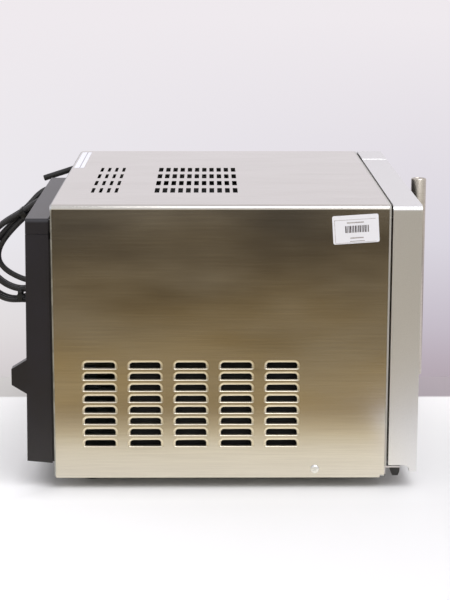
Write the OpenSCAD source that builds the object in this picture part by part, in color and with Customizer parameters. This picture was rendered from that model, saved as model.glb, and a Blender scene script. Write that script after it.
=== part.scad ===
// Bench reflow oven: a steel cabinet with a side-hinged door, infrared and fan-driven heating,
// and its control electronics in a bay at the right.
// Frame: origin under the middle of the oven, +Z up, the door faces -Y, its hinges are at -X.

/* [Cabinet] */
// Width of the cover over its side walls
cab_w = 481; // [470:1:530]
// Depth of the cover
cab_d = 363.8; // [358:0.2:420]
// Height of the cover
cab_h = 305; // [300:1:340]
// Sheet thickness of the cover
cover_t = 0.8; // [0.6:0.1:1.5]
// Outer radius of the cover's two top bends
cover_r = 5.5; // [2:0.5:8]
// Width of the hem turned in under the base
hem_w = 8; // [4:0.5:12]
// Thickness of the hem that is folded under the cover's sides
hem_t = 1; // [0.6:0.1:1.2]
// Sheet thickness of the base and of the compartment wall
sheet_t = 1.2; // [0.8:0.1:2]
// Height of the base's upturned edges
base_lip = 14; // [13.5:0.5:18]
// Thickness of the rear panel
rear_t = 1.5; // [1:0.1:2.5]
// Clearance between pieces that slide together when the cabinet is built
fit = 0.2; // [0.1:0.05:0.3]

/* [Feet] */
// Height of the feet below the cover
foot_h = 13; // [8:1:25]
// Diameter of a foot
foot_d = 24; // [16:1:30]
// Rear feet's distance in from the side of the cover
foot_in = 46; // [23:1:60]
// Front feet's distance in from the side of the cover
front_foot_in = 60; // [45:1:90]

/* [Louvres] */
// Louvre columns on each side
louvre_cols = 5; // [1:1:6]
// Louvre rows on each side
louvre_rows = 8; // [1:1:12]
// Length of a louvre's opening
louvre_w = 34.5; // [20:0.5:40]
// Height of a louvre's opening
louvre_h = 6; // [4:0.1:8]
// Depth that a louvre is pressed inwards
louvre_in = 5; // [3:0.5:7]
// Spacing of the louvre columns
louvre_dy = 50; // [44:0.5:55]
// Spacing of the louvre rows
louvre_dz = 12.6; // [10:0.1:18]
// Centre of the rear column in front of the cover's rear edge
louvre_y = 49.4; // [35:0.5:60]
// Lower edge of the lowest opening above the cover's lower edge
louvre_z = 35.7; // [20:0.5:60]

/* [Top vents] */
// Slots along the depth in the large vent
vent_cols = 11; // [1:1:16]
// Rows across the width in both vents
vent_rows = 4; // [1:1:5]
// Slots along the depth in the small vent
small_cols = 4; // [1:1:6]
// Length of a slot in the large vent
slot_l = 36; // [20:1:48]
// Width of a slot in the large vent
slot_w = 5.4; // [2:0.2:7]
// Width of a slot in the small vent
small_slot_w = 3.6; // [2:0.2:6]
// Spacing of the slots along the depth
slot_dy = 8.85; // [8.4:0.05:11]
// Spacing of the rows across the width
slot_dx = 59; // [50:1:64]
// Middle of the large vent in front of the cover's rear edge
vent_y = 155; // [140:1:220]
// Middle of the small vent in front of the cover's rear edge
small_vent_y = 51.5; // [40:0.5:70]
// Middle of both vents from the cover's left side
vent_x = 198; // [190:1:260]

/* [Chamber] */
// Room beside the chamber, from its clear width to the door's edges
side_room = 32; // [30:0.5:60]
// Room above the chamber, up to the top of the cover
roof_room = 45; // [42:1:80]
// Room behind the chamber, up to the rear panel
rear_room = 77; // [75:1:120]
// Sheet thickness of the chamber
chamber_t = 1; // [0.6:0.1:1.5]
// Chamber floor above the cover's lower edge
chamber_z = 46; // [40:1:52]
// Thickness of the insulation blanket
blanket_t = 16; // [8:1:17]
// Radius of the quartz heater tubes
tube_r = 5; // [4:0.25:6]
// Length of the ceramic ends
cap_l = 9; // [6:0.5:14]
// Distance of the heater tubes from the chamber's floor and roof
tube_in = 17; // [12:0.5:22]
// Height of the rack's rails above the chamber floor
rail_h = 64; // [50:1:90]
// Width of a rack rail
rail_w = 9; // [8.5:0.5:14]
// Distance from the chamber's mouth to the rack's front rod
rack_in = 26; // [25:0.5:40]
// Radius of the rack's frame rods
rod_r = 2.5; // [2:0.25:3]
// Wires of the rack
wires = 17; // [7:2:25]

/* [Fan] */
// Radius of the convection impeller
impeller_r = 70; // [50:1:72]
// Depth of the impeller's blades
blade_d = 22; // [12:1:24]
// Impeller blades
blades = 8; // [4:1:12]
// Radius of the fan shaft
shaft_r = 3; // [2:0.25:4]
// Running clearance of a shaft in its bore
run_gap = 0.05; // [0.02:0.01:0.1]
// Depth of the fan plenum behind the chamber
plenum_d = 38; // [34:1:42]
// Outer radius of the fan plenum
plenum_r = 98; // [94:1:99]
// Radius of the fan motor
motor_r = 28; // [20:1:30]
// Side of the square cooling fan
cooler_w = 80; // [60:1:84]
// Depth of the cooling fan's frame
cooler_d = 25; // [20:1:32]

/* [Front] */
// Thickness of the front frame
flange_t = 2.2; // [1.5:0.1:3]
// Gap between the front frame and the door
door_gap = 2.1; // [2:0.1:3]
// Depth of the door
door_t = 31.5; // [28:0.1:36]
// Wall of the door frame and the control panel
skin_t = 2; // [1.5:0.1:2.6]
// Radius of the door's upper outer edge
door_r = 6; // [3:0.5:8]
// Width of the control panel
panel_w = 86; // [82:1:92]
// Gap between the door and the control panel
split = 1.5; // [1:0.1:2.5]
// Lower edge of the door's sides above the cover's lower edge
door_z = 13; // [12.8:0.1:16]
// Depth that the front face hangs below the door's sides
lip_h = 7; // [4:0.5:9]
// Thickness of that hanging lip
lip_t = 8; // [5:0.5:9]
// Distance of the window's sides inside the chamber's width
window_in = 40; // [38:1:80]
// Distance of the window's upper and lower edges inside the chamber's height
window_low = 32; // [26:1:60]
// Thickness of a door glass
glass_t = 4; // [3:0.5:5]
// Width that each glass laps the window's edge
glass_lap = 10; // [6:1:12]
// Thickness of the door gasket
gasket_t = 1.8; // [1.4:0.1:2]

/* [Hinges and handle] */
// Hinge axis in from the door's outer side
hinge_x = 5.5; // [4.5:0.1:5.5]
// Hinge axis in front of the door's rear edge
hinge_y = 7.6; // [7.6:0.1:9]
// Radius of a hinge pin
pin_r = 2.5; // [2:0.1:2.6]
// Thickness of a hinge plate
hinge_t = 1.8; // [1.5:0.1:2.2]
// Upper hinge plate below the top of the cover
upper_hinge_in = 17; // [16:0.5:30]
// Diameter of the handle bar
handle_d = 19; // [14:0.5:24]
// Handle bar's upper end below the top of the cover
handle_top = 19; // [10:1:60]
// Handle bar's lower end above the cover's lower edge
handle_low = 30; // [10:1:60]
// Distance of the handle's posts from the bar's ends
post_in = 30; // [12:1:60]
// Distance of the handle's axis from the door face
handle_out = 37; // [30:0.5:50]
// Handle's axis in from the door's free edge
handle_in = 45; // [28:1:50]

/* [Controls] */
// Width of the display window
display_w = 60; // [40:1:64]
// Height of the display window
display_h = 42; // [30:1:50]
// Radius of the start and stop buttons
key_r = 9; // [6:0.5:11]
// Radius of the menu buttons
menu_r = 6.5; // [5:0.5:8]
// Clearance around a button
key_gap = 0.35; // [0.3:0.05:0.6]
// Height that a button stands out of the panel
key_out = 2.2; // [1.8:0.1:4]
// Radius of the power rocker
rocker_r = 10; // [8:0.5:12]

/* [Rear] */
// Gap between the cabinet and the rear duct
duct_gap = 4; // [3:0.5:6]
// Depth of the rear duct at its lower edge
duct_d = 28; // [26:1:34]
// Distance of the duct's left end from the cover's left side
duct_in = 5; // [2:1:20]
// Distance of the duct's right end from the cover's right side
duct_end = 146; // [140:1:200]
// Lower edge of the duct above the cover's lower edge
duct_z = 15; // [10:1:30]
// Top of the duct's cap below the top of the cover
duct_top = 16; // [10:1:30]
// Height of the duct's cap
duct_cap_h = 17; // [12:1:20]
// Wall of the duct
duct_t = 2.5; // [2:0.1:3.5]
// Reach of the wall spacers behind the duct
spacer_out = 15.5; // [10:0.5:25]
// Length of the stop post
post_l = 44; // [30:1:46]
// Radius of the stop post
post_r = 3.75; // [3:0.25:5]
// Distance of the mains lead's gland from the cover's right side
gland_in = 59; // [40:1:61]
// Distance of the bundled lead from the cover's right side
cord_in = 81; // [79:1:90]
// Radius of the mains lead
cord_r = 3.65; // [3:0.05:4]

/* [Hidden] */
$fn = 64;
eps = 0.01;

rear_out = duct_gap + duct_d + spacer_out;
front_out = flange_t + door_gap + door_t + handle_out + handle_d / 2;
yb = (rear_out + cab_d + front_out) / 2 - rear_out; // rear edge of the cover
yf = yb - cab_d;              // front edge of the cover
yfl = yf - flange_t;          // front face of the front frame
ydi = yfl - door_gap;         // rear edge of the door and the control panel
ysk = ydi - door_t;           // their front face
x0 = -cab_w / 2;
x1 = cab_w / 2;
zb = foot_h;
zt = foot_h + cab_h;
base_top = zb + cover_t + sheet_t;

dxr = x1 - panel_w - split / 2;         // free edge of the door
pxl = x1 - panel_w + split / 2;         // left edge of the control panel
pcx = (pxl + x1) / 2;                   // middle of the control panel
front_top = zt - 0.8;                   // upper face of the door; the panel stands a little higher
cx = (x0 + dxr) / 2;                    // middle of the chamber and the door
chamber_w = dxr - x0 - 2 * side_room;   // its clear size
chamber_h = cab_h - chamber_z - roof_room;
chamber_d = cab_d - rear_room;
cz = zb + chamber_z;                    // chamber floor
fz = cz + chamber_h / 2;                // height of the convection fan's axis
window_w = chamber_w - 2 * window_in;
window_h = chamber_h - 2 * window_low;
yc = yf + chamber_d;                    // chamber's rear wall
bx = cx + chamber_w / 2 + chamber_t + blanket_t + 3.5; // right face of the compartment wall
rail_z = cz + rail_h;
base_x = cab_w / 2 - cover_t - fit;     // outer side of the base's upturned edges

hax = x0 + hinge_x;                     // hinge axis
hay = ydi - hinge_y;
lower_hinge_z = door_z - 2.35;             // lower face of the lower hinge plate
hx = dxr - handle_in;                   // handle axis
hy = ysk - handle_out;
handle_a = zb + handle_low;             // its lower and upper end
handle_b = zt - handle_top;
upper_hinge_z = zt - upper_hinge_in;
upper_pin = 7;
crank = 22;                             // reach and width of the upper plate's cranked arm
crank_w = 12;
lower_pin = 14;

screw_y = yf + 77.3;                    // side screws of the cover
screw_z = zb + 9.2;
screw_r = 4.8;
shank_r = 1.9;
rear_screws = [[x0 + 25, zt - 8], [cx, zt - 8], [x1 - 14, zt - 8], [x1 - 14, zb + 22],
               [x1 - 14, zb + 175]];
bay_r = x1 - louvre_in - 3;             // right limit of what stands in the electronics bay
psu_y = yf + 60;                        // front of the power supply
psu_l = 115;                            // its length and height
psu_h = 32;
bay_gap = 5;                            // its distance from the compartment's wall
sink_y = yf + 190;                      // front of the heat sink
sink_l = 62;                            // its length and height, the plate's and a fin's thickness
sink_h = 25;
sink_t = 5;
fin_t = 2;
fins = 9;
relay_l = 54;                           // length and height of a relay, and its place on the sink
relay_h = 23;
relay_in = 4;
block_x = bx + 20;                      // terminal block: left end, length, front, depth, height
block_l = 54;
block_y = yb - 50;
block_d = 22;
block_h = 18;
pole = 8;                               // width of a terminal, and the wall between two
pole_t = 2;

py = yc + chamber_t;                    // front of the plenum
imp_y = py + 7;                         // front of the impeller
ring_r = (impeller_r + plenum_r) / 2;   // ring heater
motor_front = 26;                       // reach of the motor in front of the rear panel
motor_rear = 17;                        // and behind its front face
baffle_d = 10;
baffle_r = plenum_r - 7;

tongue_z = [zb + 62, zt - 63];
tongue_x = dxr - 4.75;                  // middle of a tongue's blade
tongue_l = 18;

cooler_x = (bx + bay_r) / 2 + 3;
cooler_z = zb + 112;
cooler_r = cooler_w / 2 - 2;

display_z = zt - 65;
menu_z = zt - 121;
key_z = [zt - 169, zt - 203];
rocker_z = zb + 46;
rocker_w = 15;
rocker_y = ysk + 4;
board_y = ysk + 13;                     // controller board: its front face, thickness, distance
board_t = 1.6;                          // from the panel's sides, and reach past the keys and display
board_in = 13;
board_low = 22;
board_up = 8;
pillar_in = 4;                          // its pillars inside its edge, and their radius
pillar_r = 3;
pane_t = 1.6;                           // display window: thickness, and how far it laps the hole
pane_lap = 4;
rocker_turn = 16;

duct_x = x0 + duct_in;                  // left side of the duct
duct_w = x1 - duct_end - duct_x;
duct_h = cab_h - duct_z - duct_top;
duct_y = yb + duct_gap;
cap_z = zb + duct_z + duct_h - duct_cap_h;
duct_slope = 3;                         // its rear face leans in by this much at the top
duct_rise = 2.5;                        // its lower edge rises by this much to the rear
spacer_w = 14;

// The mains lead behind the cabinet. Its hank is an oval of two arcs in a plane across the rear.
// A point is the distance to the right of that plane, behind the cover, and above its lower edge.
cord_x = x1 - cord_in;
gland_x = x1 - gland_in;
gland_z = 264;                          // above the cover's lower edge
hank_up = [36, 226];                    // upper and lower arc: distance behind the cover, height
hank_low = [85, 168];
hank_up_r = 33;                         // outer radii of the arcs
hank_low_r = 49;
hank_t = 13;                            // thickness of the bundle
hank_w = 22;                            // and its width
lead_path = [[22, 31, 264], [22, 40, 264], [20, 48, 261], [15.5, 55.5, 255], [11, 62, 247],
             [6.5, 67, 238]];
tail_path = [[0, 92, 126], [0, 84, 125.5], [0, 76.5, 124], [0, 66.5, 119.8], [0, 58, 114],
             [0, 51.3, 107], [0, 47.2, 98.5], [0, 46, 90], [0, 46, 80]];
plug_top = 80;
plug_y = 46;
relief_l = 29.5;

// --- shapes used by several pieces ---

// Box between two opposite corners
module span(a, b) { translate(a) cube(b - a); }

// Round bar along +Y, along +X or up from a point
module bar_y(p, l, r) { translate(p) rotate([-90, 0, 0]) cylinder(h = l, r = r); }
module bar_x(p, l, r) { translate(p) rotate([0, 90, 0]) cylinder(h = l, r = r); }
module bar_z(p, l, r) { translate(p) cylinder(h = l, r = r); }

// Flat outline in X and Z made solid from y to y + t
module slab(y, t) { translate([0, y + t, 0]) rotate([90, 0, 0]) linear_extrude(t) children(); }

// Rectangle in X and Z with its own radius at each corner
module plate(xa, xb, za, zc, tl, tr, bl, br) {
  union() {
    polygon([[xa + bl, za], [xb - br, za], [xb, za + br], [xb, zc - tr], [xb - tr, zc],
             [xa + tl, zc], [xa, zc - tl], [xa, za + bl]]);
    translate([xa + bl, za + bl]) circle(bl);
    translate([xb - br, za + br]) circle(br);
    translate([xb - tr, zc - tr]) circle(tr);
    translate([xa + tl, zc - tl]) circle(tl);
  }
}

// The same piece at the left and, mirrored, at the right
module both_sides() { for (m = [0, 1]) mirror([m, 0, 0]) children(); }

// Rectangle in X and Z whose two upper corners are round
module arch(xa, xb, za, zc, r) {
  union() {
    translate([xa, za]) square([xb - xa, zc - za - r]);
    translate([xa + r, za]) square([xb - xa - 2 * r, zc - za]);
    for (x = [xa + r, xb - r]) translate([x, zc - r]) circle(r);
  }
}

// Centred rectangle with round corners
module panel_hole(x, z, w, h, r) { plate(x - w / 2, x + w / 2, z - h / 2, z + h / 2, r, r, r, r); }

// --- cabinet ---

module feet() {
  color("#1c1c1e") for (s = [-1, 1]) {
    translate([s * (x1 - foot_in), yb - 36.5, 0])
      cylinder(h = zb + cover_t, r1 = foot_d / 2 - 1.5, r2 = foot_d / 2);
    translate([s * (x1 - front_foot_in), yf + 45, 0])
      cylinder(h = zb + cover_t, r1 = foot_d / 2 - 1.5, r2 = foot_d / 2);
  }
}

module base_plate() {
  color("#9a9da0") difference() {
    union() {
      span([-base_x, yf, zb + cover_t], [base_x, yb, base_top]);
      span([-base_x, yf, zb + cover_t], [base_x, yf + sheet_t, zb + base_lip]);
      both_sides() span([-base_x, yf, zb + cover_t], [sheet_t - base_x, yb, zb + base_lip]);
    }
    both_sides() bar_x([-base_x - 1, screw_y, screw_z], sheet_t + 2, shank_r + 0.3);
  }
}

// One louvre: the opening in the left wall, and the tongue of sheet pressed in behind it
module louvre_cut(y, z) {
  translate([x0 - 1, y, z]) rotate([90, 0, 90]) linear_extrude(cover_t + 2) union() {
    translate([-louvre_w / 2, 0]) square([louvre_w, louvre_h / 2]);
    translate([-louvre_w / 2 + louvre_h / 2, 0]) square([louvre_w - louvre_h, louvre_h]);
    for (s = [-1, 1]) translate([s * (louvre_w - louvre_h) / 2, louvre_h / 2]) circle(louvre_h / 2);
  }
}

module louvre_tongue(y, z) {
  top = z + louvre_h + 1.2;
  translate([0, y + louvre_w / 2 + 1, 0]) rotate([90, 0, 0]) linear_extrude(louvre_w + 2)
    polygon([[x0 + cover_t / 2, top], [x0 + cover_t / 2, top - 1], [x0 + louvre_in, z + 0.5],
             [x0 + louvre_in + cover_t, z + 0.5], [x0 + cover_t + 0.4, top]]);
}

module louvre_grid(cut) {
  for (i = [0:louvre_cols - 1]) for (j = [0:louvre_rows - 1]) {
    y = yb - louvre_y - i * louvre_dy;
    z = zb + louvre_z + j * louvre_dz;
    if (cut) louvre_cut(y, z);
    else louvre_tongue(y, z);
  }
}

module top_slots(cols, w, y) {
  for (i = [0:cols - 1]) for (j = [0:vent_rows - 1])
    translate([x0 + vent_x + (j - (vent_rows - 1) / 2) * slot_dx - slot_l / 2,
               yb - y + (i - (cols - 1) / 2) * slot_dy - w / 2, zt - cover_t - 1])
      cube([slot_l, w, cover_t + 2]);
}

module cover() {
  inner_r = max(cover_r - cover_t, 0.3);
  color("#b9b4a8") union() {
    difference() {
      slab(yf, cab_d) difference() {
        arch(x0, x1, zb - hem_t, zt, cover_r);
        arch(x0 + cover_t, x1 - cover_t, zb - hem_t - 1, zt - cover_t, inner_r);
      }
      both_sides() {
        louvre_grid(true);
        span([x0 - 1, yf - 1, zb - hem_t - 1], [x0 + cover_t + 1, yf + 5, zb + 2.5]);
        bar_x([x0 - 1, screw_y, screw_z], cover_t + 2, shank_r + 0.3);
      }
      top_slots(vent_cols, slot_w, vent_y);
      top_slots(small_cols, small_slot_w, small_vent_y);
    }
    both_sides() {
      louvre_grid(false);
      span([x0 + cover_t / 2, yf + 5, zb - hem_t], [x0 + hem_w, yb, zb + cover_t]);
    }
  }
}

// Pan-head screw along +X from the face at the origin
module screw() {
  rotate([0, 90, 0]) {
    translate([0, 0, -2.4]) difference() {
      cylinder(h = 2.4, r = screw_r);
      for (a = [0, 90]) rotate(a) translate([-2.6, -0.5, -eps]) cube([5.2, 1, 1.4]);
    }
    cylinder(h = 8, r = shank_r);
  }
}

module cover_screws() {
  color("#c9ccd0") {
    both_sides() translate([x0, screw_y, screw_z]) screw();
    for (p = rear_screws) translate([p[0], yb + rear_t, p[1]]) rotate(-90) screw();
  }
}

module rear_panel() {
  color("#b4b6b8") difference() {
    slab(yb, rear_t) arch(x0 + 0.5, x1 - 0.5, zb + 1, zt - 1, cover_r);
    bar_y([cx, yb - 1, fz], rear_t + 2, motor_r + 4);
    bar_y([gland_x, yb - 1, zb + gland_z], rear_t + 2, 6);
    for (p = rear_screws) bar_y([p[0], yb - 1, p[1]], rear_t + 2, shank_r + 0.3);
    for (i = [-4:4]) span([cooler_x + 8 * i - 2, yb - 1, cooler_z - sqrt(34 ^ 2 - (8 * i) ^ 2)],
                          [cooler_x + 8 * i + 2, yb + rear_t + 1, cooler_z + sqrt(34 ^ 2 - (8 * i) ^ 2)]);
    for (s = [-1, 1]) for (i = [-3.5:3.5]) let (x = cx + s * 95 + 10 * i)
      span([x - 2, yb - 1, zt - 90], [x + 2, yb + rear_t + 1, zt - 55]);
  }
}

module front_frame() {
  color("#c4c5c6") difference() {
    slab(yfl, flange_t) arch(x0 + 0.3, x1 - 0.3, zb + 12.5, zt - 0.5, cover_r);
    span([cx - chamber_w / 2, yfl - 1, cz], [cx + chamber_w / 2, yf + 1, cz + chamber_h]);
    for (z = tongue_z) span([tongue_x - 4, yfl - 1, z - 9], [tongue_x + 4, yf + 1, z + 9]);
    span([hax + crank - crank_w - fit, yfl - 1, upper_hinge_z - fit],
         [hax + crank + fit, yf + 1, upper_hinge_z + hinge_t + fit]);
  }
}

// --- chamber ---

module chamber() {
  hw = chamber_w / 2;
  color("#a9abad") difference() {
    span([cx - hw - chamber_t, yf, cz - chamber_t], [cx + hw + chamber_t, py, cz + chamber_h + chamber_t]);
    span([cx - hw, yf - 1, cz], [cx + hw, yc, cz + chamber_h]);
    bar_y([cx, yc - 1, fz], chamber_t + 2, impeller_r + 5);
  }
}

module insulation() {
  hw = chamber_w / 2 + chamber_t + fit;
  color("#e6dfc9") difference() {
    span([cx - hw - blanket_t, yf + 6, cz - chamber_t - fit - blanket_t],
         [cx + hw + blanket_t, yc, cz + chamber_h + chamber_t + fit + blanket_t]);
    span([cx - hw, yf + 5, cz - chamber_t - fit], [cx + hw, yc + 1, cz + chamber_h + chamber_t + fit]);
  }
}

module heater_places() {
  for (i = [0.22, 0.5, 0.78]) for (z = [cz + tube_in, cz + chamber_h - tube_in])
    translate([cx, yf + chamber_d * i, z]) children();
}

module quartz_heaters() {
  l = chamber_w - 2 * cap_l;
  color("#e9d9c4", 0.6) heater_places() bar_x([-l / 2, 0, 0], l, tube_r);
}

module heater_caps() {
  color("#f2efe6") heater_places() for (s = [-1, 1])
    bar_x([s * (chamber_w - cap_l) / 2 - cap_l / 2, 0, 0], cap_l, tube_r + 2);
}

module rack_rails() {
  color("#b8babc") for (s = [0, 1]) translate([cx, 0, 0]) mirror([s, 0, 0])
    span([-chamber_w / 2, yf + 8, rail_z - 1.2], [-chamber_w / 2 + rail_w, yc - 12, rail_z]);
}

module rack() {
  half = chamber_w / 2 - 8;
  zr = rail_z + 0.3 + rod_r;
  ya = yf + rack_in;
  l = chamber_d - rack_in - baffle_d - 5 - rod_r;
  color("#c7c9cb") union() {
    for (s = [-1, 1]) bar_y([cx + s * half, ya, zr], l, rod_r);
    for (k = [0, 0.5, 1]) bar_x([cx - half, ya + k * l, zr], 2 * half, rod_r - 0.4);
    for (i = [1:wires]) bar_y([cx - half + 2 * half * i / (wires + 1), ya, zr], l, 1.2);
    for (s = [-1, 1]) for (k = [0, 1]) translate([cx + s * half, ya + k * l, zr]) sphere(rod_r);
  }
}

module fan_baffle() {
  color("#b0b2b4") translate([cx, yc, fz]) rotate([90, 0, 0]) difference() {
    cylinder(h = baffle_d, r = baffle_r);
    translate([0, 0, -1]) cylinder(h = baffle_d, r = baffle_r - 1.2);
    for (a = [0:15:345]) rotate(a) translate([baffle_r - 4, -7, 2]) cube([8, 14, 5]);
    for (k = [1:3]) for (a = [0:60 / k:359]) rotate(a) translate([15 * k, 0, 0])
      cylinder(h = baffle_d + 1, r = 4, $fn = 24);
    cylinder(h = baffle_d + 1, r = 4, $fn = 24);
  }
}

module fan_plenum() {
  post_l = yb - py - plenum_d;
  color("#a4a6a8") translate([cx, py, fz]) rotate([-90, 0, 0]) {
    difference() {
      cylinder(h = plenum_d, r = plenum_r);
      translate([0, 0, -1]) cylinder(h = plenum_d, r = plenum_r - 1.2);
      cylinder(h = plenum_d + 1, r = shaft_r + 4);
    }
    for (a = [45:90:315]) rotate(a) translate([80, 0, plenum_d - eps])
      cylinder(h = post_l + eps, r = 4);
  }
}

module ring_heater() {
  y = plenum_d / 2;
  color("#6f5c4c") translate([cx, py, fz]) rotate([-90, 0, 0]) union() {
    translate([0, 0, y]) rotate_extrude() translate([ring_r, 0]) circle(3.5);
    for (s = [-1, 1]) translate([s * 9, ring_r - 1, y]) cylinder(h = plenum_d - 1.2 - y, r = 3);
  }
}

module fan_motor() {
  color("#7d8084") difference() {
    union() {
      bar_y([cx, yb - motor_front, fz], motor_front + motor_rear, motor_r);
      bar_y([cx, yb - motor_front - 4, fz], motor_front + motor_rear + 5, 8);
      span([cx - 48, yb - 1.5, fz - 35], [cx + 48, yb, fz + 35]);
    }
    bar_y([cx, yb - 60, fz], 120, shaft_r + run_gap);
  }
}

module fan_shaft() {
  color("#c0c2c4") bar_y([cx, imp_y, fz], yb + motor_rear + 8 - imp_y, shaft_r);
}

module fan_impeller() {
  color("#9fa2a4") translate([cx, imp_y, fz]) rotate([-90, 0, 0]) difference() {
    union() {
      translate([0, 0, blade_d]) cylinder(h = 1, r = impeller_r);
      cylinder(h = blade_d + 3, r = 10);
      for (i = [1:blades]) rotate(i * 360 / blades) translate([9, -0.6, 2])
        cube([impeller_r - 11, 1.2, blade_d - 1]);
    }
    translate([0, 0, -1]) cylinder(h = blade_d + 6, r = shaft_r);
  }
}

module motor_blade() {
  color("#d8d9da") translate([cx, yb + motor_rear + 1.5, fz]) rotate([-90, 0, 0]) difference() {
    union() {
      cylinder(h = 6, r = 7);
      for (a = [0:60:300]) rotate(a) translate([6, 0, 3]) rotate([28, 0, 0])
        translate([0, -6, -0.5]) cube([motor_r - 10, 12, 1]);
    }
    translate([0, 0, -1]) cylinder(h = 9, r = shaft_r);
  }
}

module thermocouple() {
  x = cx + chamber_w / 2;
  y = yf + chamber_d * 0.64;
  z = cz + chamber_h - tube_in - 17;
  color("#b9bbbd") {
    bar_x([x - 6, y, z], 6, 5);
    bar_x([x - 60, y, z], 54, 1.6);
  }
}

// --- electronics bay ---

module compartment_wall() {
  color("#a6a8aa")
    span([bx - sheet_t, yf + sheet_t + fit, base_top], [bx, yb, zt - cover_t - 0.3]);
}

module power_supply() {
  color("#c3c5c6") span([bx + bay_gap, psu_y, base_top], [bay_r, psu_y + psu_l, base_top + psu_h]);
}

module heat_sink() {
  low = sink_h - sink_t;
  left = bx + bay_gap + 1;
  right = bay_r - fin_t;
  color("#8e9194") union() {
    span([left, sink_y, base_top + low], [right, sink_y + sink_l, base_top + sink_h]);
    for (i = [0:fins - 1]) let (x = left + i * (right - fin_t - left) / (fins - 1))
      span([x, sink_y, base_top], [x + fin_t, sink_y + sink_l, base_top + low + eps]);
  }
}

module relays() {
  left = bx + 2 * bay_gap + 1;
  right = bay_r - bay_gap - fin_t;
  w = (right - left - bay_gap - 1) / 2;
  color("#2a2b2e") for (x = [left, right - w])
    span([x, sink_y + relay_in, base_top + sink_h],
         [x + w, sink_y + relay_in + relay_l, base_top + sink_h + relay_h]);
}

module terminal_block() {
  color("#e8e4d4") difference() {
    span([block_x, block_y, base_top], [block_x + block_l, block_y + block_d, base_top + block_h]);
    for (i = [0:4]) let (x = block_x + 3 + i * (pole + pole_t))
      span([x, block_y - 1, base_top + pole], [x + pole, block_y + 6, base_top + block_h + 1]);
  }
}

module cooling_fan_frame() {
  h = cooler_w / 2;
  color("#232427") difference() {
    union() {
      slab(yb - cooler_d, cooler_d) translate([cooler_x, cooler_z]) difference() {
        square(cooler_w, center = true);
        circle(cooler_r);
      }
      slab(yb - 4, 4) translate([cooler_x, cooler_z]) union() {
        circle(16);
        for (a = [45, 135]) rotate(a) square([2 * cooler_r + 7, 4], center = true);
      }
    }
    bar_y([cooler_x, yb - 5, cooler_z], 3.5, 2 + run_gap);
    for (sx = [-1, 1]) for (sz = [-1, 1])
      bar_y([cooler_x + sx * (h - 4.2), yb - cooler_d - 1, cooler_z + sz * (h - 4.2)], cooler_d + 2, 2.2);
  }
}

module cooling_fan_rotor() {
  color("#2f3034") translate([cooler_x, yb - cooler_d + 1.5, cooler_z]) rotate([-90, 0, 0]) union() {
    cylinder(h = cooler_d - 6.5, r = 15);
    translate([0, 0, cooler_d - 6.5 - eps]) cylinder(h = 3.3, r = 2);
    for (a = [0:60:300]) rotate(a) translate([14, 0, 9]) rotate([40, 0, 0])
      translate([0, -10, -0.7]) cube([cooler_r - 16.5, 20, 1.4]);
  }
}

module interlock_switches() {
  color("#2b2c30") for (z = tongue_z)
    span([bx, ydi + tongue_l + 0.5, z - 9], [tongue_x + 3, ydi + tongue_l + 22, z + 9]);
}

// --- hinges ---

module upper_hinge() {
  z = upper_hinge_z;
  color("#b9bbbe") union() {
    bar_z([hax, hay, z], hinge_t, pin_r + 0.6);
    span([hax, hay - pin_r - 0.6, z], [hax + crank, hay + 1.4, z + hinge_t]);
    span([hax + crank - crank_w, hay, z], [hax + crank, yf + 1.5, z + hinge_t]);
    span([x0 + 6, yf, z - 14], [hax + crank, yf + 1.5, z + 10]);
    bar_z([hax, hay, z + hinge_t - eps], upper_pin + eps, pin_r);
  }
}

module lower_hinge() {
  z = zb + lower_hinge_z;
  color("#c3c0c2") union() {
    span([x0 + 0.5, hay - 5.5, z], [x0 + 11, yf, z + hinge_t]);
    span([x0 + 3, yf - 1.6, zb + 3], [x0 + 36, yf, zb + 12]);
    bar_z([hax, hay, z - 3], 3.5, 3);
    bar_z([hax, hay, z + hinge_t - eps], lower_pin + eps, pin_r);
  }
}

module hinge_cap() {
  z = zb + lower_hinge_z;
  color("#141416") difference() {
    translate([x0 + 0.6, 0, z]) rotate([90, 0, 90]) linear_extrude(10)
      polygon([[hay + 5.4, 0], [hay + 4.8, -5], [hay + 3.2, -9], [hay - 3.2, -9], [hay - 4.8, -5],
               [hay - 5.4, 0]]);
    bar_z([hax, hay, z - 3.1], 4, 3);
  }
}

module hinge_bushes() {
  z = zb + lower_hinge_z + hinge_t;
  zu = upper_hinge_z + hinge_t + 0.3;
  color("#ececea") {
    difference() {
      union() {
        bar_z([hax, hay, z + 0.3], zb + door_z + 9 - z - 0.3, 3.4);
      }
      bar_z([hax, hay, z - 1], 40, pin_r + run_gap);
    }
    difference() {
      bar_z([hax, hay, zu], front_top - door_r - zu, 3.4);
      bar_z([hax, hay, zu - 1], upper_pin + 1.2, pin_r + run_gap);
    }
  }
}

// --- door ---

// Outline of the door (left) or the control panel (right) inside its outer face by d
module door_outline(d) { plate(x0 + d, dxr - d, zb + door_z + d, front_top - d, door_r - d, 1.2, 1.2, 1.2); }
module panel_outline(d) { plate(pxl + d, x1 - d, zb + door_z + d, zt - d, 1.2, door_r - d, 1.2, 1.2); }

// The front face carried on below the sides, with a hollow curve behind it
module lip(xa, xb) {
  r = 6;
  difference() {
    span([xa, ysk, zb + door_z - lip_h], [xb, ysk + lip_t + r, zb + door_z + 1]);
    translate([xa - 1, ysk + lip_t + r, zb + door_z - r]) rotate([0, 90, 0]) cylinder(h = xb - xa + 2, r = r);
    span([xa - 1, ysk + lip_t, zb], [xb + 1, ysk + lip_t + r + 1, zb + door_z - r]);
  }
}

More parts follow.
